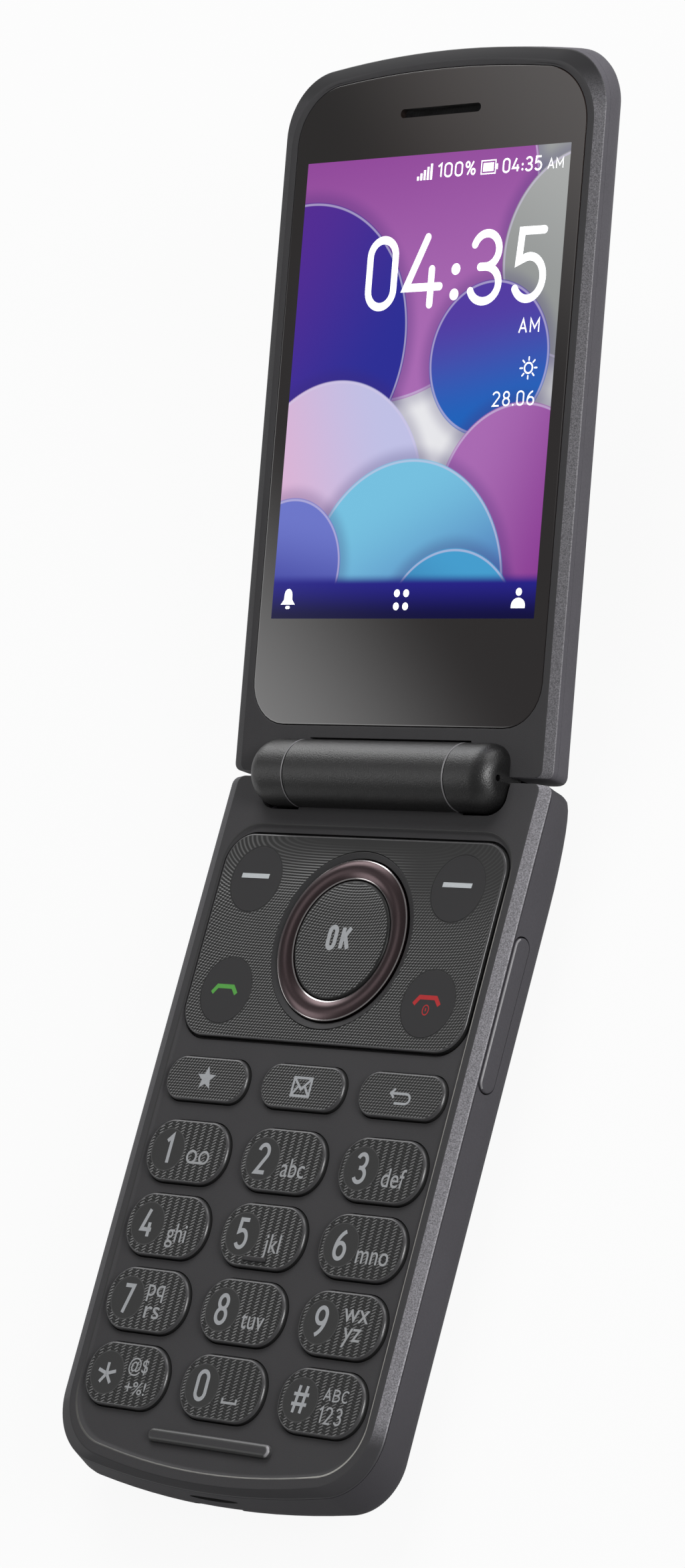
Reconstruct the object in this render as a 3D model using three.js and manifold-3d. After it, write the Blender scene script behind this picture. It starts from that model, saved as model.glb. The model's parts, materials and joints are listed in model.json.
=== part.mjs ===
// A clamshell mobile phone, lying on its back with the lid open.
// Millimetres. X to the right of the keypad, Y from the keypad towards the lid, Z up.
// The origin is the centre of the flat part of the back.
import * as THREE from "three";
import { mergeVertices } from "three/addons/utils/BufferGeometryUtils.js";
import Module from "manifold-3d";

const wasm = await Module();
wasm.setup();

// Whole phone
const phoneWidth = 51.7;
const baseLength = 89.7; // hinge axis to the far end of the base
const lidLength = 89.4; // hinge axis to the far end of the lid
const baseThickness = 10;
const lidThickness = 7.6;
const faceGap = 1; // between the two inner faces when the phone is shut
const openAngle = 165; // degrees between the inner faces when open
const nearEndGap = 0.3; // hinge axis plane to the near end of either half
const farCornerRadius = 8.1;
const nearCornerRadius = 1;
const wallTightening = 1.2; // how much tighter the far corners are below the side wall
const backTightening = 3; // and again on the back

// Clearances
const seamGap = 0.2; // between two shells
const fitGap = 0.3; // between a piece and its seat
const overrun = 1; // every cut runs this far past the face it opens

// Cross-section of the two halves, measured down from the inner face
const baseSection = {
  length: baseLength, thickness: baseThickness, stripRun: 1.5, stripDrop: 0.6, wallDrop: 3.5,
  sideCurve: 10.7, farCurve: 6, farLean: 1.1, nearCurve: 4, nearLean: 0,
  nearTaper: 12, nearNarrowing: 0.6, farArch: 1.5,
};
const lidSection = {
  length: lidLength, thickness: lidThickness, stripRun: 1.1, stripDrop: 1.05, wallDrop: 2.1,
  sideCurve: 11.7, farCurve: 7, farLean: 0.4, nearCurve: 1.2, nearLean: 1.1,
  nearTaper: 0, nearNarrowing: 0, farArch: 1.2,
};

// Hinge
const knuckleRadius = 4.22;
const knuckleClearance = 0.33;
const hingeSideMargin = 6.35; // hinge end to the phone's side
const endKnuckleLength = 6.5;
const knuckleSplit = 0.15; // between the middle knuckle and each end knuckle
const knuckleEndRadius = 1.8;
const knuckleBoreRadius = 3;
const endBoreRadius = 1.9;
const endBoreDepth = 4.6;
const cartridgeLength = 12;
const shaftRadius = 1.6;
const bushReach = 4; // how far the cable bush reaches into the middle knuckle
const bushWall = 0.8;
const bushBoreDepth = 3.2;
const pinHoleRadius = 0.4;
const pinHoleDepth = 1.2;
const pinHoleRise = 1.55;
const hingeBeam = 6.2; // solid bar across the near end of each half

// Shell walls
const shellWall = 1.2;
const backWall = 0.9;
const baseRimDepth = 0.8; // front shell's outer edge on the base
const coverSplitDepth = 7.6; // inner face to the battery cover's edge
const floorThickness = 0.55;

// Keypad tray
const trayInset = 2.45; // from the phone's side
const trayNear = 6.5;
const trayFarInset = 3; // from the far end
const trayDepth = 0.3;
const trayCornerRadius = 7;
const trayNearRadius = 5.2;
const traySlope = 0.4;
const deckThickness = 1.2;
const keyClearance = 0.25;
const ribLength = 19.7;
const ribWidth = 1.65;
const ribHeight = 0.65;
const ribFarInset = 2.8; // rib to the tray's far end
const ribKeyGap = 1.84;

// Keys
const keySideMargin = 1.065; // outer keys to the tray's side
const columnGap = 2.685;
const rowGap = 1.63;
const keyRadius = 3.6;
const keyStand = 0.35; // key tops above the inner face
const keyBevel = 0.4;
const keyBevelDrop = 0.3;
const flangeWidth = 0.55;
const flangeThickness = 0.55;
const functionKeyDepth = 5.4;
const functionKeyRadius = 2.5;
const functionGapNear = 2.78; // navigation plate to the function keys
const functionGapFar = 2.64; // function keys to the first number row

// Navigation cluster
const navPlateSide = 0.6; // plate edge to the tray's side
const navPlateNearMargin = 1.35;
const navPlateLength = 26.15;
const navPlateThickness = 0.9;
const navPlateStand = 0.2;
const navPlateRadius = 4;
const cornerKeyWidth = 7.2;
const cornerKeyLength = 8.2;
const cornerKeySide = 6.3; // its centre to the plate's side
const cornerKeyEnd = 5.9; // its centre to the plate's end
const ringSideMargin = 13.3; // ring to the plate's side
const ringEndMargin = 3.075; // ring to the plate's end
const ringBand = 2.15;
const ringStand = 0.6;
const ringPlateGapX = 0.95;
const ringPlateGapY = 1.1;
const okGap = 0.3;
const okStand = 0.4;
const ringFlangeWidth = 1.35;
const ringTiltGap = 0.35;

// Pieces under the deck
const matThickness = 0.4;
const matInset = 1.1; // from the tray's side
const boardThickness = 0.8;
const batterySideMargin = 9.35; // battery to the phone's side
const batteryNear = 22;
const batteryFarMargin = 13.7; // battery to the far end
const bayWall = 1;
const screwShaftRadius = 0.8;
const screwHeadRadius = 1.45;
const screwHeadThickness = 0.8;
const bossWall = 0.6;
const nearBossInset = 3.3; // screw centre to the phone's side
const nearBossDistance = 3.3; // screw centre to the hinge axis plane
const nearBossDrop = 3;
const farBossInset = 9;
const farBossDistance = 5.7; // screw centre to the far end

// Side key
const rockerLength = 19;
const rockerWidth = 2.6;
const rockerNear = 18.7;
const rockerDrop = 0.95; // inner face to the rocker's upper edge
const rockerStand = 0.45;
const rockerFlange = 0.6;

// Fittings
const portWidth = 7.6;
const portHeight = 2.4;
const portLength = 6;
const portWall = 0.35;
const speakerSideMargin = 8.85;
const speakerLength = 10;
const speakerThickness = 3;
const soundSlotLength = 9;
const soundSlotWidth = 0.9;
const soundSlotPitch = 1.7;
const soundSlotCount = 5;
const motorSideMargin = 9.2;
const motorRadius = 4.2;
const motorThickness = 2.6;
const microphoneRadius = 2;
const microphoneThickness = 1.2;
const microphoneHoleRadius = 0.5;
const microphoneBossGap = 2.55;
const simWidth = 15;
const simLength = 11;
const simThickness = 1.4;
const shieldBossGap = 0.7;
const shieldLength = 7;
const shieldThickness = 1.3;

// Lid
const lidRimDepth = 1.25; // front shell's outer edge on the lid
const lensInset = 2.05; // from the phone's side
const lensNear = 6.06;
const lensFarInset = 2.75;
const lensThickness = 0.9;
const lensNearRadius = 5.5;
const lensFarRadius = 7.5;
const lensArch = 0.9;
const displaySide = 2.47; // lit area to the lens's side
const displayChin = 13.1;
const displayForehead = 10.5;
const displayBorder = 1.2; // module beyond the lit area
const displayThickness = 1.9;
const earSlotLength = 13;
const earSlotWidth = 1.1;
const earSlotFar = 5.2; // slot to the lens's far end
const earMeshMargin = 0.8;
const earMeshThickness = 0.3;
const earSpeakerLength = 12;
const earSpeakerWidth = 6;
const earSpeakerThickness = 2.6;
const lidBoardThickness = 0.7;
const lidBoardInset = 4.5;
const lidBoardNear = 9;
const lidBoardFarInset = 14;
const outerWindowWidth = 26;
const outerWindowLength = 36;
const outerWindowNear = 19;
const outerWindowThickness = 0.7;
const outerWindowRadius = 3;
const outerDisplayMargin = 2;
const outerDisplayThickness = 1.3;
const cameraNear = 12.6; // hinge axis to the camera's centre
const cameraRadius = 3.4;
const cameraRingRadius = 2.2;
const cameraModuleSize = 7.4;
const magnetLength = 8;
const magnetWidth = 3;
const magnetThickness = 1.4;
const magnetFarInset = 12;

// Facets
const cornerSteps = 6;
const nearCornerSteps = 4;
const farEdgeSteps = 4;
const backCurveSteps = 6;
const roundSteps = 28;
const smallRoundSteps = 16;
const keyCornerSteps = 4;
const flangeCornerSteps = 2;
const flangeSteps = 12;
const cornerKeySteps = 20;
const ringSteps = 36;
const ringRows = 4;
const roundLimitShare = 0.98; // largest corner radius, as a share of half the width

// Derived places, shared by the pieces that meet there
const faceLevel = -faceGap / 2; // inner face of either half, from the hinge axis
const halfWidth = phoneWidth / 2;
const batteryWidth = phoneWidth - 2 * batterySideMargin;
const batteryLength = baseLength - batteryNear - batteryFarMargin;
const trayHalf = halfWidth - trayInset;
const trayFar = baseLength - trayFarInset;
const deckTop = faceLevel - trayDepth;
const deckBottom = deckTop - deckThickness;
const flangeTop = deckBottom - keyClearance;
const flangeBottom = flangeTop - flangeThickness;
const keyTop = faceLevel + keyStand;
const matTop = flangeBottom - fitGap;
const matBottom = matTop - matThickness;
const boardTop = matBottom - fitGap;
const boardBottom = boardTop - boardThickness;
const floorTop = boardBottom - fitGap;
const floorBottom = floorTop - floorThickness;
const coverTop = faceLevel - coverSplitDepth;
const backLevel = faceLevel - baseThickness;
const coverFloor = backLevel + backWall;
const lidBackLevel = faceLevel - lidThickness;
const pocketRadius = knuckleRadius + knuckleClearance;
const hingeHalf = halfWidth - hingeSideMargin;
const middleHalf = hingeHalf - endKnuckleLength;
const endKnuckleStart = middleHalf + knuckleSplit;
const hingeZ = baseThickness - faceLevel;
const hingeY = (nearEndGap + baseSection.nearCurve + baseLength - baseSection.farCurve) / 2;

// Materials
const finishes = {
  shell: { color: 0x2e2d2e, roughness: 0.62, metalness: 0 },
  cover: { color: 0x2b2a2b, roughness: 0.7, metalness: 0 },
  key: { color: 0x333233, roughness: 0.45, metalness: 0 },
  ring: { color: 0x4a3539, roughness: 0.28, metalness: 0.9 },
  lens: { color: 0x1b1a1b, roughness: 0.06, metalness: 0 },
  screen: { color: 0x3a3f9c, roughness: 0.3, metalness: 0 },
  rubber: { color: 0x8c8c88, roughness: 0.8, metalness: 0 },
  board: { color: 0x1f4a33, roughness: 0.5, metalness: 0 },
  steel: { color: 0xa5a6a8, roughness: 0.35, metalness: 1 },
  cell: { color: 0x202226, roughness: 0.55, metalness: 0 },
  dark: { color: 0x141414, roughness: 0.6, metalness: 0 },
};

function material(name) {
  return new THREE.MeshStandardMaterial(finishes[name]);
}

// Geometry to solid and back
function toSolid(geometry) {
  const bare = geometry.clone();
  bare.deleteAttribute("normal");
  bare.deleteAttribute("uv");
  const merged = mergeVertices(bare);
  const vertProperties = Float32Array.from(merged.attributes.position.array);
  const triVerts = Uint32Array.from(merged.index.array);
  return new wasm.Manifold(new wasm.Mesh({ numProp: 3, vertProperties, triVerts }));
}

function toGeometry(solid) {
  const mesh = solid.getMesh();
  const geometry = new THREE.BufferGeometry();
  geometry.setAttribute("position", new THREE.BufferAttribute(mesh.vertProperties, 3));
  geometry.setIndex(new THREE.BufferAttribute(mesh.triVerts, 1));
  geometry.computeVertexNormals();
  return geometry;
}

function named(name, solid, finish) {
  const mesh = new THREE.Mesh(toGeometry(solid), material(finish));
  mesh.name = name;
  return mesh;
}

// Outlines, as points in order counterclockwise
function arcPoints(cx, cy, radius, start, end, steps) {
  const points = [];
  for (let i = 0; i <= steps; i += 1) {
    const angle = start + ((end - start) * i) / steps;
    points.push([cx + radius * Math.cos(angle), cy + radius * Math.sin(angle)]);
  }
  return points;
}

function roundedPath(xLow, yLow, xHigh, yHigh, radius, steps = keyCornerSteps) {
  const limit = Math.min(xHigh - xLow, yHigh - yLow) / 2;
  const r = Math.min(radius, limit * roundLimitShare);
  const quarter = Math.PI / 2;
  return [
    ...arcPoints(xHigh - r, yLow + r, r, -quarter, 0, steps),
    ...arcPoints(xHigh - r, yHigh - r, r, 0, quarter, steps),
    ...arcPoints(xLow + r, yHigh - r, r, quarter, 2 * quarter, steps),
    ...arcPoints(xLow + r, yLow + r, r, 2 * quarter, 3 * quarter, steps),
  ].map(([x, y]) => new THREE.Vector2(x, y));
}

function centredPath(place, width, length, radius, steps) {
  return roundedPath(
    place.x - width / 2, place.y - length / 2, place.x + width / 2, place.y + length / 2, radius,
    steps,
  );
}

function ellipsePath(place, width, length, steps = roundSteps) {
  return Array.from({ length: steps }, (_, i) => {
    const angle = (2 * Math.PI * i) / steps;
    return new THREE.Vector2(
      place.x + (width / 2) * Math.cos(angle), place.y + (length / 2) * Math.sin(angle),
    );
  });
}

function circlePath(place, radius, steps) {
  return ellipsePath(place, radius * 2, radius * 2, steps);
}

function atLevel(points, level) {
  return points.map(({ x, y }) => new THREE.Vector3(x, y, level));
}

// Solids
function prism(outline, low, high) {
  const geometry = new THREE.ExtrudeGeometry(new THREE.Shape(outline), {
    depth: high - low, bevelEnabled: false,
  });
  geometry.translate(0, 0, low);
  return toSolid(geometry);
}

function disc(place, radius, low, high) {
  return prism(circlePath(place, radius, smallRoundSteps), low, high);
}

function block(xLow, xHigh, yLow, yHigh, low, high) {
  const geometry = new THREE.BoxGeometry(xHigh - xLow, yHigh - yLow, high - low);
  geometry.translate((xLow + xHigh) / 2, (yLow + yHigh) / 2, (low + high) / 2);
  return toSolid(geometry);
}

function turnedX(profile, segments = roundSteps) {
  const geometry = new THREE.LatheGeometry(profile.map(([r, x]) => new THREE.Vector2(r, x)), segments);
  geometry.rotateZ(-Math.PI / 2);
  return toSolid(geometry);
}

function rod(radius, xLow, xHigh, segments) {
  return turnedX([[0, xLow], [radius, xLow], [radius, xHigh], [0, xHigh]], segments);
}

// Closed body through a stack of outlines, lowest first, each seen counterclockwise from above
function loft(rings) {
  const count = rings[0].length;
  const positions = rings.flat().flatMap((point) => [point.x, point.y, point.z]);
  const index = [];
  for (let level = 0; level + 1 < rings.length; level += 1) {
    for (let i = 0; i < count; i += 1) {
      const a = level * count + i;
      const b = level * count + ((i + 1) % count);
      index.push(a, b, b + count, a, b + count, a + count);
    }
  }
  const last = (rings.length - 1) * count;
  for (const [a, b, c] of THREE.ShapeUtils.triangulateShape(rings[0], [])) {
    index.push(a, c, b);
  }
  for (const [a, b, c] of THREE.ShapeUtils.triangulateShape(rings[rings.length - 1], [])) {
    index.push(last + a, last + b, last + c);
  }
  const geometry = new THREE.BufferGeometry();
  geometry.setAttribute("position", new THREE.Float32BufferAttribute(positions, 3));
  geometry.setIndex(index);
  return toSolid(geometry);
}

// Plan outline of a half: square near end, arched far end. side is 1 for the lid, -1 for the base.
function halfOutline(side, level, spec) {
  const { half, near, far, nearRadius, nearRun = nearRadius, farRadius, arch } = spec;
  const shoulder = far - arch;
  const slope = Math.atan((2 * arch) / half);
  const top = Math.PI / 2 - slope;
  const nearRight = arcPoints(0, 0, 1, -Math.PI / 2, 0, nearCornerSteps)
    .map(([x, y]) => [half + nearRadius * (x - 1), near + nearRun * (y + 1)]);
  const farRight = arcPoints(half - farRadius, shoulder - farRadius, farRadius, 0, top, cornerSteps);
  const [edgeX, edgeY] = farRight[farRight.length - 1];
  const edge = [];
  for (let i = 1; i < farEdgeSteps; i += 1) {
    const x = edgeX - (2 * edgeX * i) / farEdgeSteps;
    edge.push([x, far - (far - edgeY) * (x / edgeX) ** 2]);
  }
  const farLeft = farRight.map(([x, y]) => [-x, y]).reverse();
  const nearLeft = nearRight.map(([x, y]) => [-x, y]).reverse();
  const points = [...nearRight, ...farRight, ...edge, ...farLeft, ...nearLeft];
  const placed = points.map(([x, y]) => new THREE.Vector3(x, side * y, level));
  return side > 0 ? placed : placed.reverse();
}

// Full body of a half, inset all round by offset
function halfBody(side, section, offset = 0, nearOffset = offset) {
  const straight = Math.min(section.wallDrop, section.thickness - offset);
  const levels = [
    { drop: 0, inset: section.stripRun },
    { drop: section.stripDrop, inset: 0 },
    { drop: straight, inset: 0 },
  ];
  const rise = section.thickness - offset - straight;
  for (let i = 1; i <= backCurveSteps; i += 1) {
    const angle = (Math.PI / 2) * (i / backCurveSteps);
    levels.push({
      drop: straight + rise * Math.sin(angle), inset: section.sideCurve * (1 - Math.cos(angle)),
    });
  }
  const rings = levels.map(({ drop, inset }) => {
    const back = drop > section.stripDrop;
    const share = back ? inset / section.sideCurve : 0;
    const wallShare = Math.min(1, Math.max(0, drop - section.stripDrop) / section.wallDrop);
    return halfOutline(side, faceLevel - drop, {
      half: halfWidth - offset - inset,
      near: nearEndGap + nearOffset + share * section.nearCurve
        - section.nearLean * (drop / section.thickness),
      far: section.length - offset - (back ? share * section.farCurve : inset)
        - section.farLean * (1 - wallShare),
      nearRadius: nearCornerRadius + wallShare * section.nearNarrowing,
      nearRun: nearCornerRadius + wallShare * section.nearTaper,
      farRadius: farCornerRadius - offset / 2 - wallShare * wallTightening - share * backTightening,
      arch: section.farArch,
    });
  });
  return loft(rings.reverse());
}

function slab(low, high) {
  return block(-phoneWidth, phoneWidth, -baseLength * 2, baseLength * 2, low, high);
}

// Straight-sided room inside a half, from the hinge beam to the far wall
function room(side, section, offset, near, low, high) {
  const spec = {
    half: halfWidth - offset, near, far: section.length - offset, nearRadius: nearCornerRadius,
    farRadius: farCornerRadius - offset / 2, arch: section.farArch,
  };
  return loft([halfOutline(side, low, spec), halfOutline(side, high, spec)]);
}

// Keypad layout, in the hinge's frame with the base towards -Y
const ribFar = trayFar - ribFarInset;
const ribNear = ribFar - ribWidth;
const navPlateNear = trayNear + navPlateNearMargin;
const navPlateFar = navPlateNear + navPlateLength;
const navPlateHalf = trayHalf - navPlateSide;
const ringWidth = 2 * (navPlateHalf - ringSideMargin);
const ringLength = navPlateLength - 2 * ringEndMargin;
const navCentre = { x: 0, y: -(navPlateNear + navPlateFar) / 2 };
const functionNear = navPlateFar + functionGapNear;
const numbersNear = functionNear + functionKeyDepth + functionGapFar;
const numbersFar = ribNear - ribKeyGap;
const keyDepth = (numbersFar - numbersNear - 3 * rowGap) / 4;
const keyWidth = (2 * (trayHalf - keySideMargin) - 2 * columnGap) / 3;
const columnPitch = keyWidth + columnGap;
const rowPitch = keyDepth + rowGap;
const numberNames = [
  ["key_1", "key_2", "key_3"], ["key_4", "key_5", "key_6"],
  ["key_7", "key_8", "key_9"], ["key_asterisk", "key_0", "key_hash"],
];
const functionNames = ["key_favourite", "key_message", "key_back"];

function keyLayout() {
  const keys = [];
  functionNames.forEach((name, column) => {
    const place = { x: (column - 1) * columnPitch, y: -(functionNear + functionKeyDepth / 2) };
    const shape = (grow, steps = keyCornerSteps) => centredPath(
      place, keyWidth + 2 * grow, functionKeyDepth + 2 * grow, functionKeyRadius + grow, steps,
    );
    keys.push({ name, shape, top: keyTop });
  });
  numberNames.forEach((names, row) => {
    names.forEach((name, column) => {
      const place = {
        x: (column - 1) * columnPitch, y: -(numbersNear + keyDepth / 2 + row * rowPitch),
      };
      const shape = (grow, steps = keyCornerSteps) => centredPath(
        place, keyWidth + 2 * grow, keyDepth + 2 * grow, keyRadius + grow, steps,
      );
      keys.push({ name, shape, top: keyTop });
    });
  });
  return keys;
}

function cornerKeyLayout() {
  const x = navPlateHalf - cornerKeySide;
  const y = navPlateLength / 2 - cornerKeyEnd;
  const corners = [
    ["key_soft_left", -x, y], ["key_soft_right", x, y], ["key_call", -x, -y], ["key_end", x, -y],
  ];
  return corners.map(([name, dx, dy]) => {
    const place = { x: navCentre.x + dx, y: navCentre.y + dy };
    const shape = (grow, steps = cornerKeySteps) => ellipsePath(
      place, cornerKeyWidth + 2 * grow, cornerKeyLength + 2 * grow, steps,
    );
    return { name, shape, top: faceLevel + navPlateStand };
  });
}

const keys = keyLayout();
const cornerKeys = cornerKeyLayout();

function ringShape(grow) {
  return ellipsePath(navCentre, ringWidth + 2 * grow, ringLength + 2 * grow);
}

function navOpening(grow = 0) {
  return ellipsePath(
    navCentre, ringWidth + 2 * (ringPlateGapX + grow), ringLength + 2 * (ringPlateGapY + grow),
  );
}

// Screw places
const screwHole = screwShaftRadius + fitGap;
const bossRadius = screwHole + bossWall;
const nearScrews = [-1, 1].map((s) => ({ x: s * (halfWidth - nearBossInset), y: -nearBossDistance }));
const farScrews = [-1, 1].map((s) => ({
  x: s * (halfWidth - farBossInset), y: -(baseLength - farBossDistance),
}));
const nearBossBottom = faceLevel - baseRimDepth - nearBossDrop;
const nearHeadTop = nearBossBottom - 2 * fitGap - bossWall;
const farBossBottom = floorTop + fitGap;

const farBossInner = halfWidth - farBossInset - bossRadius;

// Widths of the fittings that fill a room
const speakerWidth = halfWidth - 2 * bayWall - speakerSideMargin;
const shieldInner = portWidth / 2 + portWall + bayWall + fitGap;
const shieldWidth = farBossInner - shieldBossGap - shieldInner;

// Side key, on the right of the base
const rockerTop = faceLevel - rockerDrop;
const rockerBottom = rockerTop - rockerWidth;
const rockerInner = halfWidth - shellWall - fitGap;

function baseFrontHousing() {
  const rim = halfBody(-1, baseSection).intersect(slab(faceLevel - baseRimDepth, faceLevel));
  const plate = halfBody(-1, baseSection, shellWall + 2 * fitGap, hingeBeam + fitGap)
    .intersect(slab(deckBottom, faceLevel - baseRimDepth / 2));
  let solid = rim.add(plate);
  const floorPath = traySection(traySlope);
  const tray = loft([
    trayRing(floorPath, deckTop), trayRing(traySection(0), faceLevel), trayRing(traySection(0), overrun),
  ]);
  solid = solid.subtract(tray);
  const seat = roundedPath(
    -navPlateHalf - fitGap, -navPlateFar - fitGap, navPlateHalf + fitGap, -navPlateNear + fitGap,
    navPlateRadius + fitGap,
  );
  const seatFloor = faceLevel + navPlateStand - navPlateThickness - fitGap;
  solid = solid.subtract(prism(seat, seatFloor, overrun));
  for (const key of [...keys, ...cornerKeys]) {
    solid = solid.subtract(prism(key.shape(keyClearance), deckBottom - overrun, overrun));
  }
  solid = solid.subtract(prism(navOpening(), deckBottom - overrun, overrun));
  const rib = roundedPath(-ribLength / 2, -ribFar, ribLength / 2, -ribNear, ribWidth / 2);
  solid = solid.add(prism(rib, deckTop - trayDepth, deckTop + ribHeight));
  for (const place of nearScrews) {
    solid = solid.add(disc(place, bossRadius, nearBossBottom, faceLevel - baseRimDepth / 2));
    solid = solid.subtract(disc(place, screwHole, nearBossBottom - overrun, faceLevel - baseRimDepth));
  }
  for (const place of farScrews) {
    solid = solid.add(disc(place, bossRadius, farBossBottom, deckBottom + trayDepth));
    solid = solid.subtract(disc(place, screwHole, farBossBottom - overrun, deckBottom));
  }
  for (const s of [-1, 1]) {
    const start = s * (middleHalf - knuckleSplit);
    const end = s * (hingeHalf + knuckleClearance);
    solid = solid.subtract(rod(pocketRadius, Math.min(start, end), Math.max(start, end)));
  }
  solid = solid.add(rod(knuckleRadius, -middleHalf, middleHalf));
  return solid.subtract(rod(knuckleBoreRadius, -middleHalf - overrun, middleHalf + overrun));
}

// The tray's outline, drawn in by inset
function traySection(inset) {
  return {
    half: trayHalf - inset, near: trayNear + inset, far: trayFar - inset,
    nearRadius: trayNearRadius, farRadius: trayCornerRadius,
    arch: baseSection.farArch,
  };
}

function trayRing(spec, level) {
  return halfOutline(-1, level, spec);
}

function baseRearHousing() {
  const wallTop = faceLevel - baseRimDepth - seamGap;
  const wallBottom = coverTop + seamGap;
  let solid = halfBody(-1, baseSection).intersect(slab(wallBottom, wallTop));
  solid = solid.subtract(room(-1, baseSection, shellWall, hingeBeam, floorTop, overrun));
  solid = solid.subtract(
    halfBody(-1, baseSection, shellWall, hingeBeam).intersect(slab(backLevel, floorBottom)),
  );
  const bay = batteryBay();
  const bayOuter = roundedPath(
    bay.xLow - bayWall, bay.yLow - bayWall, bay.xHigh + bayWall, bay.yHigh + bayWall, bayWall,
  );
  const bayBottom = coverFloor + fitGap;
  const walls = prism(bayOuter, bayBottom, floorBottom + floorThickness / 2)
    .subtract(block(bay.xLow, bay.xHigh, bay.yLow, bay.yHigh, bayBottom - overrun, floorBottom))
    .intersect(halfBody(-1, baseSection, backWall + fitGap));
  solid = solid.add(walls);
  for (const well of [simWell(), shieldWell()]) {
    solid = solid.subtract(block(well.xLow, well.xHigh, well.yLow, well.yHigh, floorBottom - overrun,
      floorTop + overrun));
  }
  for (const place of nearScrews) {
    solid = solid.subtract(disc(place, bossRadius + fitGap, nearBossBottom - fitGap, overrun));
    solid = solid.subtract(disc(place, screwHole, nearHeadTop - overrun, overrun));
    solid = solid.subtract(disc(place, screwHeadRadius + fitGap, backLevel, nearHeadTop));
  }
  for (const place of farScrews) {
    solid = solid.subtract(disc(place, screwHole, floorBottom - overrun, floorTop + overrun));
  }
  const reach = hingeHalf + knuckleClearance;
  solid = solid.subtract(rod(pocketRadius, -reach, reach));
  solid = solid.subtract(portRoom());
  const hole = new THREE.CylinderGeometry(
    microphoneHoleRadius, microphoneHoleRadius, farBossDistance, roundSteps / 2,
  );
  const microphone = microphonePlace();
  hole.translate(microphone.x, -baseLength + shellWall / 2, (floorTop + wallTop) / 2);
  solid = solid.subtract(toSolid(hole));
  return solid.subtract(rockerRoom());
}

function batteryBay() {
  const half = batteryWidth / 2 + fitGap;
  return {
    xLow: -half, xHigh: half,
    yLow: -(batteryNear + batteryLength + fitGap), yHigh: -(batteryNear - fitGap),
  };
}

function simPlace() {
  const bay = batteryBay();
  return { x: -(halfWidth + bayWall) / 2 + bayWall, y: (bay.yHigh - hingeBeam) / 2 };
}

function motorPlace() {
  return { x: motorSideMargin + motorRadius - halfWidth, y: simPlace().y };
}

function simWell() {
  const place = simPlace();
  return {
    xLow: place.x - simWidth / 2 - fitGap, xHigh: place.x + simWidth / 2 + fitGap,
    yLow: place.y - simLength / 2 - fitGap, yHigh: place.y + simLength / 2 + fitGap,
  };
}

function farRoomCentre() {
  return (batteryBay().yLow - bayWall - baseLength + shellWall) / 2;
}

function shieldPlace() {
  return { x: -(shieldInner + shieldWidth / 2), y: farRoomCentre() };
}

function shieldWell() {
  const place = shieldPlace();
  return {
    xLow: place.x - shieldWidth / 2 - fitGap, xHigh: place.x + shieldWidth / 2 + fitGap,
    yLow: place.y - shieldLength / 2 - fitGap, yHigh: place.y + shieldLength / 2 + fitGap,
  };
}

const portTop = boardBottom - fitGap;
const portBottom = portTop - portHeight;

function portRoom() {
  const half = portWidth / 2 + fitGap;
  const yHigh = -(baseLength - baseSection.farArch - portLength) + fitGap;
  return block(-half, half, -baseLength - overrun, yHigh, portBottom - fitGap, portTop + fitGap);
}

function microphonePlace() {
  const x = farBossInner - microphoneBossGap - microphoneRadius;
  return { x, y: -(baseLength - farBossDistance) };
}

function rockerRoom() {
  return block(
    rockerInner - rockerFlange - fitGap, halfWidth + overrun,
    -(rockerNear + rockerLength + fitGap), -(rockerNear - fitGap),
    rockerBottom - fitGap, rockerTop + fitGap,
  );
}

function batteryCover() {
  const outer = halfBody(-1, baseSection).intersect(slab(backLevel - overrun, coverTop));
  const inner = halfBody(-1, baseSection, backWall, backWall).intersect(slab(coverFloor, 0));
  let solid = outer.subtract(inner);
  const speaker = speakerPlace();
  for (let i = 0; i < soundSlotCount; i += 1) {
    const y = speaker.y + (i - (soundSlotCount - 1) / 2) * soundSlotPitch;
    const slot = centredPath({ x: speaker.x, y }, soundSlotLength, soundSlotWidth, soundSlotWidth / 2, 2);
    solid = solid.subtract(prism(slot, backLevel - overrun, coverFloor + overrun));
  }
  return solid;
}

function speakerPlace() {
  return { x: speakerWidth / 2 + 2 * bayWall, y: simPlace().y };
}

function battery() {
  const bay = batteryBay();
  return prism(
    roundedPath(bay.xLow + fitGap, bay.yLow + fitGap, bay.xHigh - fitGap, bay.yHigh - fitGap, bayWall),
    coverFloor + fitGap, floorBottom - fitGap,
  );
}

function mainBoard() {
  const half = rockerInner - rockerFlange - 2 * fitGap;
  const yLow = -(baseLength - shellWall - baseSection.farArch - 2 * fitGap);
  let solid = prism(
    roundedPath(-half, yLow, half, -(hingeBeam + 2 * fitGap), farCornerRadius - shellWall),
    boardBottom, boardTop,
  );
  for (const place of farScrews) {
    solid = solid.subtract(disc(place, bossRadius + fitGap, boardBottom - overrun, boardTop + overrun));
  }
  return solid;
}

function keyMat() {
  const half = trayHalf - matInset;
  return prism(
    roundedPath(-half, -(numbersFar + flangeWidth), half, -(trayNear + matInset), navPlateRadius),
    matBottom, matTop,
  );
}

function navPlate() {
  const top = faceLevel + navPlateStand;
  const outline = roundedPath(-navPlateHalf, -navPlateFar, navPlateHalf, -navPlateNear, navPlateRadius);
  let solid = prism(outline, top - navPlateThickness, top);
  for (const key of cornerKeys) {
    solid = solid.subtract(prism(key.shape(keyClearance), -baseThickness, overrun));
  }
  return solid.subtract(prism(navOpening(), -baseThickness, overrun));
}

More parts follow.
